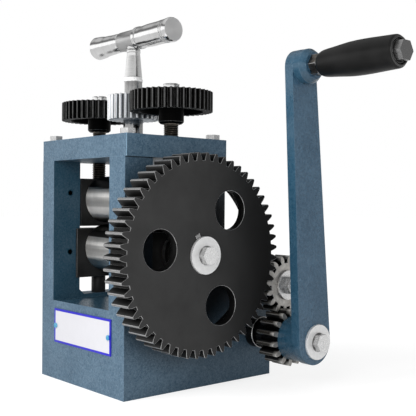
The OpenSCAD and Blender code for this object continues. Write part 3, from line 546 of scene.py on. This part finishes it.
# %% Helpers for turned metal
def turning_marks(add, place, axis):
    """Fine lines round an axis: a noise that changes 22 times faster along it."""
    squeeze = tuple(22.0 if i == axis else 1.0 for i in range(3))
    squeezed = add("ShaderNodeVectorMath", {0: place, 1: squeeze}, operation="MULTIPLY")
    return noise(add, squeezed.outputs[0], 45.0, 5.0, 0.7)


def blurred_along(add, axis, blur):
    """Shader inputs that blur the mirror along an axis and not round it."""
    round_it = add("ShaderNodeTangent", direction_type="RADIAL", axis="XYZ"[axis]).outputs[0]
    return {"Anisotropic": blur, "Anisotropic Rotation": 0.25, "Tangent": round_it}


print("lathe marks ready")

# %% [markdown]
# ## Turned metal
# The T bar's flat ends are duller than its length. The rolls are finely ground, and long dark and
# bright bands are painted on them: a painted reflection of the room. The bands are drawn by how far
# the surface looks up, so they stay in place on the round of a roll, as mirrored bands do. Shafts and
# bronze bushes use the same recipe with deeper marks.

# %% Turned metal
def painted_reflection_bands(add, bands):
    """The painted reflection's colour, whose stops go from 0, looking down, to 1, looking up."""
    normal = add("ShaderNodeNewGeometry").outputs["Normal"]
    return ramp(add, spread(add, coordinate(add, normal, Z), -1.0, 1.0), bands)


def turned_metal(name, low, high, rough, blur, depth=0.1, bands=None, ends=None):
    """Metal turned round X. Ends is the grey of its flat ends. Bands, if given, are a painted
    reflection.
    """
    finish, add = new_finish(name)
    place = own_place(add)
    marks = turning_marks(add, place, X)
    mixed = mix_numbers(add, 0.45, marks, noise(add, place, 70.0, 4.0, 0.6))
    tone = ramp(add, mixed, [(0.35, low), (0.65, high)])
    gloss = vary(add, mixed, rough * 0.85, rough * 1.15)
    if bands:
        tone = multiply_colours(add, tone, painted_reflection_bands(add, bands))
    if ends:
        flat = facing(add, X)
        tone = mix_colours(add, flat, tone, grey(ends))
        gloss = mix_numbers(add, flat, gloss, 0.42)
    show(add, skin(add, tone, gloss, {
        "Metallic": 1.0, "Normal": dimples(add, marks, depth), **blurred_along(add, X, blur)}))
    return finish


# Painted reflection: the dark and bright bands on the rolls.
roll_reflection_stops = [(0.06, grey(0.3)), (0.13, grey(1.0)), (0.31, grey(1.0)), (0.36, grey(0.62)),
             (0.52, grey(0.68)), (0.56, grey(1.0)), (0.715, grey(1.0)), (0.735, grey(0.04))]
roll_steel = turned_metal("roll_steel", (0.78, 0.77, 0.75, 1), (0.98, 0.965, 0.94, 1), 0.42, 1.0,
                          depth=0.12, bands=roll_reflection_stops)
bar_steel = turned_metal("bar_steel", grey(0.76), grey(0.92), 0.16, 0.6, ends=0.8)
shaft_steel = turned_metal("shaft_steel", grey(0.36), grey(0.5), 0.32, 0.6, depth=0.2)
bush_bronze = turned_metal("bush_bronze", (0.42, 0.26, 0.12, 1), (0.55, 0.36, 0.18, 1), 0.35, 0.5,
                           depth=0.2)
print("turned metals ready")

# %% [markdown]
# ## Plain metal
# Small fittings are plated or simply oiled: slightly cloudy, fine grained and not turned. One
# recipe in several greys serves them all. It also serves the bevelled edges of the machined pieces,
# where the black or the oil has rubbed off and bare metal shows.

# %% Plain metal
def plain_metal(name, low, high, rough):
    """Cloudy metal with a fine grain, whose roughness varies by a quarter."""
    finish, add = new_finish(name)
    place = own_place(add)
    cloud = noise(add, place, 160.0, 4.0, 0.65)
    grain = noise(add, place, 1500.0, 2.0, 0.6)
    tone = ramp(add, mix_numbers(add, 0.35, cloud, grain), [(0.36, low), (0.64, high)])
    show(add, skin(add, tone, vary(add, cloud, rough * 0.75, rough * 1.25), {
        "Metallic": 1.0, "Normal": dimples(add, grain, 0.1)}))
    return finish


zinc_plate = plain_metal("zinc_plate", grey(0.66), grey(0.92), 0.26)
zinc_edge = plain_metal("zinc_edge", grey(0.3), grey(0.6), 0.3)
bright_edge = plain_metal("bright_edge", grey(0.4), grey(0.66), 0.32)
worn_bright = plain_metal("worn_bright", grey(0.3), grey(0.62), 0.32)
worn_black = plain_metal("worn_black", grey(0.10), grey(0.28), 0.38)
nut_steel = plain_metal("nut_steel", (0.07, 0.062, 0.055, 1), (0.24, 0.22, 0.20, 1), 0.3)
dark_steel = plain_metal("dark_steel", grey(0.015), grey(0.045), 0.38)
print("plain metals ready")

# %% [markdown]
# ## Bolt heads
# The end of a hex head is faced on a lathe, so it is paler than the six sides, which mirror what
# lies around them. The bolts of the washers and the idler's nut look along X, and the bolts of the
# cap plate look up. The bolt in the grip's end isn't plated: it is dark and more metallic.

# %% Hex heads
def bolt_metal(name, axis, face, side, rough, metallic=0.6):
    """Hex head along this axis, with one grey for its end face and one for its sides."""
    finish, add = new_finish(name)
    cloud = noise(add, own_place(add), 260.0, 4.0, 0.7)
    sides = mix_colours(add, cloud, grey(side * 0.6), grey(side * 1.4))
    end = mix_colours(add, cloud, grey(face * 0.85), grey(face * 1.15))
    tone = mix_colours(add, facing(add, axis), sides, end)
    show(add, skin(add, tone, vary(add, cloud, rough * 0.7, rough * 1.3), {
        "Metallic": metallic, "Normal": dimples(add, cloud, 0.15, 0.0003)}))
    return finish


side_bolt_zinc = bolt_metal("side_bolt_zinc", X, 0.78, 0.42, 0.25)
top_bolt_zinc = bolt_metal("top_bolt_zinc", Z, 0.8, 0.5, 0.25)
nut_zinc = bolt_metal("nut_zinc", X, 0.8, 0.45, 0.25)
grip_bolt_steel = bolt_metal("grip_bolt_steel", X, 0.17, 0.3, 0.3, metallic=0.9)
print("bolt metals ready")

# %% [markdown]
# ## Washers
# Round each bolt head the washer has a dark ring of painted shade, where the head meets it, with some
# dirt, and the washer beyond is scuffed white zinc. The ring is measured from the washer's own
# middle, so it always sits round the head.

# %% Washers with a ring
def middle(node):
    """The middle of a node's box."""
    low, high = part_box(node)
    return tuple((a + b) / 2 for a, b in zip(low, high))


def washer_metal(name, node, head):
    """Plated washer with a dark ring of painted shade round a bolt head of this radius."""
    finish, add = new_finish(name)
    place = own_place(add)
    from_bolt = distance_round(add, place, X, middle(node))
    cloud = noise(add, place, 300.0, 4.0, 0.7)
    scuffed = mix_colours(add, cloud, grey(0.78), grey(1.0))
    # Painted shade round the bolt head.
    ring = ramp(add, spread(add, from_bolt, head, head + 0.0016),
                [(0.0, grey(0.10)), (0.45, grey(0.22)), (1.0, grey(1.0))])
    show(add, skin(add, multiply_colours(add, scuffed, ring), vary(add, cloud, 0.3, 0.5), {
        "Metallic": 0.7, "Normal": dimples(add, cloud, 0.3, 0.0004)}))
    return finish


print("the big gear's washer is round", [round(c, 4) for c in middle("gear_washer")])

# %% [markdown]
# ## Teeth that wear, with painted shade
# A gear's teeth get painted shade, black at the foot and dark on their flanks and sides, with some
# oil, and are rubbed grey at the tip. Both are found by the distance from the gear's axis, and the
# tip's distance is half the size of the gear's box, so it is measured and not typed.

# %% Teeth of the black gears
def half_size(node, axis):
    """Half the size of a node's box along an axis."""
    low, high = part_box(node)
    return (high[axis] - low[axis]) / 2


flank_depth, land_depth, teeth_depth = 0.0050, 0.0004, 0.0095  # below the tip


def shaded_and_rubbed_teeth(add, place, tone, node, axis, flank, land):
    """Lays a gear's teeth over its tone: painted shade, black at the foot and dark on the flank
    above, and a rubbed land at the tip.
    """
    from_axis = distance_round(add, place, axis, middle(node))
    tip = half_size(node, Z if axis == X else X)
    not_face = opposite(add, facing(add, axis))
    # Painted shade on the gear's sides and teeth.
    tone = mix_colours(add, not_face, tone, grey(flank * 0.5))
    climb = spread(add, from_axis, tip - flank_depth, tip - land_depth)
    side = ramp(add, climb, [(0.0, grey(flank * 0.4)), (0.55, grey(flank)), (1.0, grey(flank * 4))])
    scratches = noise(add, place, 420.0, 3.0, 0.7)
    rubbed = mix_colours(add, scratches, grey(land * 0.7), grey(land * 1.3))
    teeth = mix_colours(add, beyond(add, from_axis, tip - land_depth, 0.0001), side, rubbed)
    in_teeth = work_out(add, "MULTIPLY", beyond(add, from_axis, tip - teeth_depth), not_face)
    return mix_colours(add, in_teeth, tone, teeth)


print("big gear:", round(half_size("big_gear", Z) * 2000, 1), "mm across")

# %% [markdown]
# ## Blackened iron
# The big gear, the gears on top and the bearing blocks are blackened, not painted: nearly black,
# slightly cloudy, with a low satin sheen. A dark non-metal with little mirror gloss matches the
# photograph better than a black metal, whose reflection would be too clean. The big gear's face is
# darker towards the rear: a painted shadow of the crank and the idler. The hand grip is the same
# black, and its bevelled rim is paler and glossier, where palms have polished it.

# %% Blackened iron
def blackened_iron(name, low, high, rough, sheen=0.2, teeth=None, shadow_span=None):
    """Dark satin iron. Teeth is (node, axis, flank, land), the greys of a gear's teeth.
    The shadow_span (start, end) spreads a painted shadow that darkens the face from one Y to the
    other."""
    finish, add = new_finish(name)
    place = own_place(add)
    cloud = noise(add, place, 30.0, 5.0, 0.6)
    pores = noise(add, place, 1400.0, 2.0, 0.6)
    tone = ramp(add, cloud, [(0.35, low), (0.65, high)])
    if shadow_span:
        # Painted shadow towards the rear of the face.
        rear_shadow = spread(add, coordinate(add, place, Y), *shadow_span)
        tone = mix_colours(add, rear_shadow, tone, grey(0.001))
    if teeth:
        tone = shaded_and_rubbed_teeth(add, place, tone, *teeth)
    show(add, skin(add, tone, vary(add, cloud, rough - 0.05, rough + 0.06), {
        "Normal": dimples(add, pores, 0.15), "Specular IOR Level": sheen}))
    return finish


big_gear_black = blackened_iron("big_gear_black", grey(0.023), grey(0.032), 0.5,
                                teeth=("big_gear", X, 0.004, 0.14), shadow_span=(0.0, 0.085))
top_gear_black = {
    side: blackened_iron(side + "_gear_black", grey(0.001), grey(0.002), 0.45, sheen=0.04,
                         teeth=(side + "_top_gear", Z, 0.0008, 0.035))
    for side in ("left", "right")}
block_black = blackened_iron("block_black", grey(0.008), grey(0.02), 0.4)
grip_black = blackened_iron("grip_black", grey(0.005), grey(0.010), 0.38, sheen=0.18)
grip_rim = blackened_iron("grip_rim", grey(0.02), grey(0.05), 0.25, sheen=0.5)
print("black finishes ready")

# %% [markdown]
# ## Painted highlights on the teeth's ends
# On the idler and the crank's pinion, only the last six millimetres of each tooth, towards the crank,
# carry a painted highlight. The rest of a tooth's tip is dull with oil. Two shares are multiplied for
# that: how far up the tooth a point is, and how close to its end.

# %% Painted highlights at the teeth's ends
def darkened(colour, times):
    """A colour times a number."""
    return tuple(times * c for c in colour[:3]) + (1,)


highlight_length = 0.006


def painted_end_highlight(add, place, flank, from_axis, tip, deep, end):
    """Lays dull lands over the teeth, and a painted highlight on the last stretch before X = end."""
    climb = spread(add, from_axis, tip - 0.6 * deep, tip)
    near_end = spread(add, coordinate(add, place, X), end - highlight_length, end)
    on_land = spread(add, from_axis, tip - 0.0006, tip - 0.0002)
    flank = mix_colours(add, on_land, flank, (0.05, 0.045, 0.038, 1))
    end_highlight = work_out(add, "MULTIPLY", climb, near_end)
    return mix_colours(add, end_highlight, flank, (0.98, 0.95, 0.90, 1))


# The painted highlight covers this length at each tooth's end.
print("each tooth is rubbed bright over its last", highlight_length * 1000, "mm")

# %% [markdown]
# ## Gears of bare steel
# The idler and the crank's pinion are steel with oil on them: brownish grey on their faces and black
# at the foot of the teeth, where old oil stays and shade is painted in. The centre pinion on the stem
# is clean: its teeth are bright and bluish, and only their feet are grey, a painted shade. The blur
# of all three is even, because they were milled, not turned.

# %% Gears of bare steel
def gear_steel(name, node, axis, deep, foot, low, high, land, metallic, end=None):
    """Steel gear with teeth this deep. Foot and land are the tones of its teeth, and the teeth darken
    towards the foot as painted shade; low and high are those of its faces. With end, an X, the teeth
    are duller but carry a painted highlight there."""
    finish, add = new_finish(name)
    place = own_place(add)
    from_axis = distance_round(add, place, axis, middle(node))
    tip = half_size(node, Y)
    cloud = noise(add, place, 130.0, 5.0, 0.65)
    face = ramp(add, cloud, [(0.35, low), (0.65, high)])
    # Painted shade: the teeth darken towards their foot.
    flank = ramp(add, spread(add, from_axis, tip - deep, tip), [
        (0.0, foot), (0.5, darkened(foot, 2)), (0.82, darkened(foot, 8)), (0.95, land)])
    if end:
        flank = painted_end_highlight(add, place, flank, from_axis, tip, deep, end)
    tone = mix_colours(add, opposite(add, facing(add, axis)), face, flank)
    show(add, skin(add, tone, vary(add, cloud, 0.26, 0.4), {
        "Metallic": metallic, "Normal": dimples(add, cloud, 0.2, 0.0003)}))
    return finish


side_tooth, top_tooth = 0.0078, 0.0042
oil_and_shade, brown = grey(0.003), ((0.36, 0.345, 0.325, 1), (0.62, 0.60, 0.57, 1))
dark_brown = ((0.25, 0.24, 0.225, 1), (0.48, 0.46, 0.435, 1))
idler_steel = gear_steel("idler_steel", "idler_gear", X, side_tooth, oil_and_shade, *brown, brown[1], 0.8,
                         end=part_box("idler_gear")[1][X])
pinion_steel = gear_steel("pinion_steel", "crank_pinion", X, side_tooth, oil_and_shade, *dark_brown,
                          dark_brown[1], 0.6, end=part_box("crank_arm")[0][X])
bright_pinion = gear_steel(
    "bright_pinion", "centre_pinion", Z, top_tooth, (0.2, 0.21, 0.22, 1),
    (0.55, 0.58, 0.62, 1), (0.75, 0.79, 0.83, 1), (0.93, 0.96, 1.0, 1), 0.9)
print("bare gears ready")

# %% [markdown]
# ## Softened edges
# No real edge is knife sharp: each catches a thin line of light, and on these gears the line is
# bare grey metal where the black has rubbed off. A bevel modifier makes that line as real geometry,
# and its material setting paints it. The weld modifier comes first, because the imported faces are
# not joined, and a bevel only works on edges that two faces share.

# %% A helper that dresses a CAD piece
joined_within, sharp_over = 0.00001, math.radians(32)


def soften(piece, width, steps):
    """Rounds the sharp edges of a piece by width."""
    weld = piece.modifiers.new("weld", "WELD")
    weld.merge_threshold = joined_within
    bevel = piece.modifiers.new("softened edge", "BEVEL")
    bevel.width = width
    bevel.segments = steps
    bevel.limit_method = "ANGLE"
    bevel.angle_limit = sharp_over
    bevel.material = 1
    bevel.harden_normals = True
    bevel.use_clamp_overlap = True


def dress(names, finish, edge=None, width=0.0, steps=2):
    """Gives CAD pieces their finish, and the finish of their rounded edges."""
    for name in names.split():
        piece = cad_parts[name]
        piece.data.materials.clear()
        piece.data.materials.append(finish)
        piece.data.materials.append(edge or finish)
        if width:
            soften(piece, width, steps)
    print("dressed:", names)


print("edges sharper than", round(math.degrees(sharp_over)), "degrees can be softened")

# %% [markdown]
# ## Dressing the frame and the crank
# The casting and the cap plate have small rounded edges, painted paler as a painted highlight. The
# crank's edges are broader, about one millimetre, and carry the same painted highlight. The bearing
# blocks and their posts are black, and the bushes in them are bronze.

# %% Frame, cap plate and crank
dress("frame_casting", frame_paint, edge_highlight_paint, 0.0005)
dress("cap_plate", cap_paint, edge_highlight_paint, 0.0005)
dress("crank_arm", arm_paint, edge_highlight_paint, 0.0012, steps=3)
dress("lower_block_left lower_block_right upper_block_left upper_block_right",
      block_black, worn_black, 0.0005)
dress("support_post_left support_post_right", block_black, worn_black, 0.0003)
dress("lower_bush_left lower_bush_right upper_bush_left upper_bush_right stem_bush", bush_bronze)

# %% [markdown]
# ## The spacer behind the big gear
# Between the frame and the big gear sits a hub that is bright where it was faced beside the frame,
# and black beyond. One material can do both: two finishes, mixed by how far along the shaft the
# point is.

# %% A hub of two finishes
def two_toned_hub(name, bright_to):
    """Bright steel up to this X, black iron beyond."""
    finish, add = new_finish(name)
    place = own_place(add)
    cloud = noise(add, place, 300.0, 4.0, 0.65)
    steel = skin(add, ramp(add, cloud, [(0.35, grey(0.5)), (0.65, grey(0.75))]),
                 vary(add, cloud, 0.25, 0.4), {"Metallic": 1.0})
    iron = skin(add, ramp(add, cloud, [(0.35, grey(0.001)), (0.65, grey(0.003))]), 0.45,
                {"Specular IOR Level": 0.06})
    show(add, mix_shaders(add, beyond(add, coordinate(add, place, X), bright_to), steel, iron))
    return finish


dress("gear_spacer", two_toned_hub("hub_finish", 0.0815), worn_bright, 0.0005)

# %% [markdown]
# ## Dressing the gears
# The black gears are rubbed along every tooth's edges: to bare metal on the big gear, which meets
# the idler at every turn, and only to dark grey on the gears on top, which are seldom used.

# %% Gears
dress("big_gear", big_gear_black, worn_bright, 0.00035)
dress("left_top_gear", top_gear_black["left"], worn_black, 0.0002)
dress("right_top_gear", top_gear_black["right"], worn_black, 0.0002)
dress("idler_gear", idler_steel, bright_edge, 0.0004)
dress("crank_pinion", pinion_steel, bright_edge, 0.0004)
dress("centre_pinion", bright_pinion, zinc_plate, 0.0002)

# %% [markdown]
# ## Dressing the rolls and the grip
# The rolls get the banded steel. The nut, the washer and the bolt that hold the grip are dark, as
# handled steel is, and the grip's rounded ends are its polished rim.

# %% Bright and dark metal
dress("lower_roll upper_roll", roll_steel, roll_steel, 0.0006)
dress("shaft_collar gear_key", shaft_steel, bright_edge, 0.0004)
dress("crank_bush", dark_steel, zinc_plate, 0.0006)
dress("stem_retainer handle_washer", dark_steel, worn_black, 0.0003)
dress("handle_nut", nut_steel, bright_edge, 0.0004)
dress("handle_bolt", grip_bolt_steel, worn_bright, 0.0006)
dress("hand_grip", grip_black, grip_rim, 0.0015, steps=4)

# %% [markdown]
# ## Dressing the fasteners
# Each washer's ring is as large as the head of its own bolt, so the head is measured first. The
# other plated pieces get greyer edges, because their corners mirror the dark parts of the room.

# %% Washers, bolts and nuts
for washer, bolt in (("gear_washer", "gear_bolt"), ("crank_washer", "crank_bolt")):
    head = half_size(bolt, Z)
    print(bolt, "head:", round(head * 2000, 1), "mm across")
    dress(washer, washer_metal(washer + "_zinc", washer, head), zinc_plate, 0.0003)
    dress(bolt, side_bolt_zinc, zinc_plate, 0.0004)
dress("cap_bolts", top_bolt_zinc, zinc_edge, 0.0003)
dress("idler_washer left_cap_screw right_cap_screw", zinc_plate, zinc_edge, 0.0003)
dress("idler_nut", nut_zinc, zinc_edge, 0.0003)

# %% [markdown]
# ## The stem and its sleeve
# The stem and the sleeve that holds the T bar are one welded piece, but the stem was turned along its
# own length and then polished, and the sleeve was only faced, so it is duller. One material holds
# both finishes, and how far a point is from the bar's axis says which one it gets. Up the stem there
# are four tones: a darker foot below the pinion, which is painted shade, a grey band, a narrow ring
# that is a painted highlight, white and less metallic because it leans towards the light, and the
# bright taper.

# %% Two finishes on one stem
bar_height, sleeve_radius = 0.3565, 0.0106
band_foot, ring_foot, ring_top = 0.2972, 0.3118, 0.3162
stem_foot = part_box("centre_pinion")[0][Z]


def stem_tone(add, height, taper, band, ring, foot):
    """The grey at each height of the stem, with painted shade at the foot and a painted highlight on
    the ring.
    """
    in_band = between(add, height, band_foot, ring_foot)
    in_ring = between(add, height, ring_foot, ring_top)
    tone = mix_colours(add, in_band, grey(taper), grey(band))
    tone = mix_colours(add, in_ring, tone, grey(ring))
    return mix_colours(add, beyond(add, height, stem_foot), grey(foot), tone)


def stem_and_sleeve(name):
    """Polished stem below, satin sleeve round the bar."""
    finish, add = new_finish(name)
    place = own_place(add)
    height = coordinate(add, place, Z)
    marks = turning_marks(add, place, Z)
    # The foot's tone is painted shade, and the ring's white, with less metal, is a painted highlight.
    dark = stem_tone(add, height, taper=0.60, band=0.26, ring=0.9, foot=0.2)
    light = stem_tone(add, height, taper=0.80, band=0.46, ring=0.98, foot=0.4)
    in_ring = between(add, height, ring_foot, ring_top)
    polished = skin(add, mix_colours(add, marks, dark, light), 0.18, {
        "Metallic": mix_numbers(add, in_ring, 1.0, 0.35), "Normal": dimples(add, marks, 0.1),
        **blurred_along(add, Z, 0.3)})
    grain = noise(add, place, 1300.0, 3.0, 0.7)
    satin = skin(add, mix_colours(add, grain, grey(0.46), grey(0.62)), 0.36, {
        "Metallic": 1.0, "Normal": dimples(add, grain, 0.3)})
    from_bar = distance_round(add, place, X, (0.0, 0.0, bar_height))
    on_sleeve = opposite(add, beyond(add, from_bar, sleeve_radius))
    show(add, mix_shaders(add, on_sleeve, polished, satin))
    return finish


dress("t_stem", stem_and_sleeve("stem_and_sleeve_steel"), width=0.0003)

# %% [markdown]
# ## A lathe
# Screws, grips and studs are all turned shapes, and a list of places and radii describes each one.
# The lathe below spins such a list round an axis and closes its two ends.

# %% A helper that turns a piece
def turn_piece(name, axis, centre, profile, finish, body, stands_for, sections=72):
    """A turned piece. Profile is a list of (place along the axis, radius), and a radius may be a
    function of the angle, in turns. Axis is X or Z, and centre gives the two other coordinates."""
    points, faces = [], []
    for along, radius in profile:
        for i in range(sections):
            share = i / sections
            r = radius(share) if callable(radius) else radius
            u = centre[0] + r * math.cos(2 * math.pi * share)
            v = centre[1] + r * math.sin(2 * math.pi * share)
            points.append((along, u, v) if axis == X else (u, v, along))
    for ring in range(len(profile) - 1):
        for i in range(sections):
            j = (i + 1) % sections
            a, b = ring * sections, (ring + 1) * sections
            faces.append((a + i, a + j, b + j, b + i))
    last = (len(profile) - 1) * sections
    faces.append(tuple(reversed(range(sections))))
    faces.append(tuple(range(last, last + sections)))
    mesh = bpy.data.meshes.new(name)
    mesh.from_pydata(points, [], faces)
    mesh.materials.append(finish)
    mesh.shade_smooth()
    mesh.set_sharp_from_angle(angle=math.radians(28))
    piece = bpy.data.objects.new(name, mesh)
    bpy.context.scene.collection.objects.link(piece)
    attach(piece, body)
    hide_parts(stands_for)
    print(name, "has", len(faces), "faces")


print("lathe ready")

# %% [markdown]
# ## A thread
# For a thread, the radius also depends on the angle: one turn of the thread climbs by its pitch, so
# the groove's depth is a wave of height minus angle. At both ends the wave fades out over one turn,
# as the cutter leaves the metal.

# %% A helper that cuts a thread
def thread(start, end, radius, depth, pitch, step):
    """The part of a profile that carries a V thread, from start to end along the axis."""
    rings = []
    count = int(round((end - start) / step))
    for k in range(count + 1):
        z = start + (end - start) * k / count
        run_out = min(1.0, (z - start) / pitch, (end - z) / pitch)
        rings.append((z, lambda share, z=z, run_out=run_out:
                      radius - depth * run_out * abs(2 * ((z / pitch - share) % 1.0) - 1)))
    return rings


screw_pitch, screw_step = 0.002, 0.00034
print("a turn of a screw's thread takes", round(screw_pitch / screw_step), "rings")

# %% [markdown]
# ## The adjusting screws
# Each black screw has a foot that hangs in the T slot of the upper block, a coarse thread of two
# millimetres, and a plain seat inside its gear. The CAD model has a plain rod there, so the
# threaded version replaces it, with the same foot, length and tapped hole. The black is rubbed off
# the crests of the thread, so the finish goes by the distance from the screw's axis.

# %% Threaded adjusting screws
screw_radius, thread_depth, crest_foot = 0.0075, 0.0011, 0.0067
foot_radius, seat_radius, tapped_radius = 0.010, 0.0065, 0.003
foot_low, foot_high, seat_low, seat_high, hole_floor = 0.2048, 0.2078, 0.263, 0.2945, 0.2805


def thread_steel(name, x):
    """Black steel whose thread, round the upright line at x, is rubbed bright on its crests."""
    finish, add = new_finish(name)
    place = own_place(add)
    cloud = noise(add, place, 500.0, 3.0, 0.6)
    crest = spread(add, distance_round(add, place, Z, (x, 0.0, 0.0)), crest_foot, screw_radius)
    rubbed = mix_colours(add, cloud, (0.12, 0.10, 0.08, 1), (0.38, 0.34, 0.29, 1))
    show(add, skin(add, mix_colours(add, crest, grey(0.01), rubbed),
                   vary(add, cloud, 0.3, 0.42), {"Metallic": 0.9}))
    return finish


for side, x in (("left", -0.0645), ("right", 0.0645)):
    profile = [(foot_low, foot_radius), (foot_high, foot_radius), (foot_high, screw_radius)]
    profile += thread(foot_high + 0.0004, seat_low - 0.0002, screw_radius, thread_depth,
                      screw_pitch, screw_step)
    profile += [(seat_low, screw_radius), (seat_low, seat_radius), (seat_high, seat_radius),
                (seat_high, tapped_radius), (hole_floor, tapped_radius)]
    turn_piece(side + "_threaded_screw", Z, (x, 0), profile,
               thread_steel(side + "_thread_steel", x), "screw_" + side, side + "_screw")

# %% [markdown]
# ## The shape of a grip
# Each grip of the T bar is thinner beside the sleeve and swells towards its end. The swelling
# repeats the CAD model's, point by point, as shares of the grip's length and of its largest
# radius, and narrow grooves are cut into it, so the grip keeps its size.

# %% A helper for the grips' outline
def grip_profile(shares, radius, length, start, away, end_share, grooves, depth):
    """Places and radii of a grip that starts at start and runs away (1 or -1) along X."""
    outline = sorted(shares + [[1.0, end_share]])

    def radius_at(share):
        for (s0, r0), (s1, r1) in zip(outline, outline[1:]):
            if s0 <= share <= s1:
                blend = (share - s0) / (s1 - s0)
                blend = blend * blend * (3 - 2 * blend) if s1 < 0.96 else blend
                return r0 + (r1 - r0) * blend
        return end_share

    steps = sorted(set([k / 60 for k in range(61)] + [s for s, _ in outline]))
    rings = [(s, radius_at(s) * radius) for s in steps
             if not any(abs(s - g) < w for g, w in grooves)]
    for g, w in grooves:
        edge_a, edge_b = radius_at(g - w) * radius, radius_at(g + w) * radius
        rings += [(g - w, edge_a), (g - w * 0.55, edge_a - depth),
                  (g + w * 0.55, edge_b - depth), (g + w, edge_b)]
    return [(start + away * s * length, r) for s, r in sorted(rings)]


print("outline helper ready")

# %% [markdown]
# ## The grips of the T bar
# Two narrow grooves near the right grip's end and a small chamfer catch the light. Beside the
# sleeve the right grip has a bead with a neck behind it. The left grip only has a shallow groove.
# The spigot that sits in the sleeve belongs to each grip too, so each profile starts at the middle
# of the bar.

# %% Turned grips with grooves
spigot_radius, right_start, left_start, end_share = 0.006, 0.010, -0.019, 0.92
right_shares = [[0, 0.88], [0.16, 0.9], [0.38, 0.94], [0.6, 0.935], [0.8, 0.96], [0.95, 1],
                [0.98, 0.97]]
left_shares = [[0, 0.79], [0.25, 0.815], [0.56, 0.86], [0.85, 0.97], [0.97, 1], [0.985, 0.98]]
right_grip = grip_profile(right_shares, 0.0123, 0.0575, right_start, 1, end_share,
                          grooves=[(0.825, 0.02), (0.885, 0.02)], depth=0.0010)
left_grip = grip_profile(left_shares, 0.0124, 0.0485, left_start, -1, end_share,
                         grooves=[(0.045, 0.02)], depth=0.0005)
bead = [(right_start, 0.0113), (0.0104, 0.0117), (0.0136, 0.0117), (0.014, 0.0113)]
neck = [(0.0141, 0.0103), (0.0153, 0.0103), (0.0156, 0.0109)]
neck_end = 0.0157
right_rings = [(0.0, spigot_radius), (right_start, spigot_radius)] + bead + neck
right_rings += [ring for ring in right_grip if ring[0] > neck_end]
left_rings = [(0.0, spigot_radius), (left_start, spigot_radius)] + left_grip
for side, rings in (("right", right_rings), ("left", left_rings[::-1])):
    turn_piece(side + "_turned_grip", X, (0, bar_height), rings, bar_steel, "t_handle",
               "t_grip_" + side, 96)

# %% [markdown]
# ## The idler's stud
# The idler turns on a stud whose end sticks out of the nut, and the few turns of thread on it show
# in the photograph. Only that end is threaded: the rest of the profile is the CAD model's.

# %% Stud with a threaded end
stud_radius, shoulder_radius, tip_radius, tip_end_radius = 0.008, 0.012, 0.005, 0.0045
shoulder_start, gear_play = 0.0755, 0.0003
stud_depth, stud_pitch, stud_step = 0.0007, 0.0015, 0.00025
stud_start, stud_end = (corner[X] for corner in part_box("idler_stud"))
nut_start, washer_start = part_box("idler_nut")[0][X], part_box("idler_washer")[0][X]
gear_start, gear_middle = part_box("idler_gear")[0][X], middle("idler_gear")
shoulder_end = gear_start - gear_play
journal = [(stud_start, stud_radius), (shoulder_start, stud_radius),
           (shoulder_start, shoulder_radius), (shoulder_end, shoulder_radius),
           (shoulder_end, stud_radius), (washer_start, stud_radius)]
tip = [(washer_start, tip_radius)]
tip += thread(nut_start, stud_end - 0.0004, tip_radius, stud_depth, stud_pitch, stud_step)
tip += [(stud_end, tip_end_radius)]
turn_piece("threaded_stud", X, gear_middle[1:], journal + tip, zinc_plate, "frame", "idler_stud",
           60)

# %% [markdown]
# ## The front plate
# The plate on the base is plain white enamel with a blue line round it. The line is drawn by the
# material: it is blue where a point is close to the plate's edge, measured from the plate's box.

# %% Enamel with a blue border
def enamel(name, node, border):
    """White enamel with a blue border of this width, seen along Y."""
    finish, add = new_finish(name)
    place = own_place(add)
    sides = []
    for axis in (X, Z):
        off = work_out(add, "SUBTRACT", coordinate(add, place, axis), middle(node)[axis])
        size = work_out(add, "ABSOLUTE", off)
        sides.append(beyond(add, size, half_size(node, axis) - border, 0.0001))
    line = work_out(add, "MAXIMUM", *sides)
    cloud = noise(add, place, 120.0, 3.0, 0.6)
    white = ramp(add, cloud, [(0.3, (0.49, 0.488, 0.513, 1)), (0.7, (0.505, 0.503, 0.528, 1))])
    blue = ramp(add, cloud, [(0.3, (0.004, 0.001, 0.32, 1)), (0.7, (0.008, 0.002, 0.42, 1))])
    show(add, skin(add, mix_colours(add, line, white, blue), vary(add, cloud, 0.36, 0.40), {}))
    return finish


dress("front_plate", enamel("plate_enamel", "front_plate", 0.0022))

# %% [markdown]
# ## The plate's screws
# The two screws that hold the plate have blue plated heads, so bright that they mirror the room. A
# blue metal, cloudy like the zinc, gives that.

# %% Blue plated screws
blue_plating = plain_metal("blue_plating", (0.06, 0.42, 0.80, 1), (0.35, 0.80, 1.0, 1), 0.2)
blue_edge = plain_metal("blue_plating_edge", (0.01, 0.16, 0.42, 1), (0.04, 0.28, 0.62, 1), 0.3)
dress("plate_screws", blue_plating, blue_edge, 0.0003)
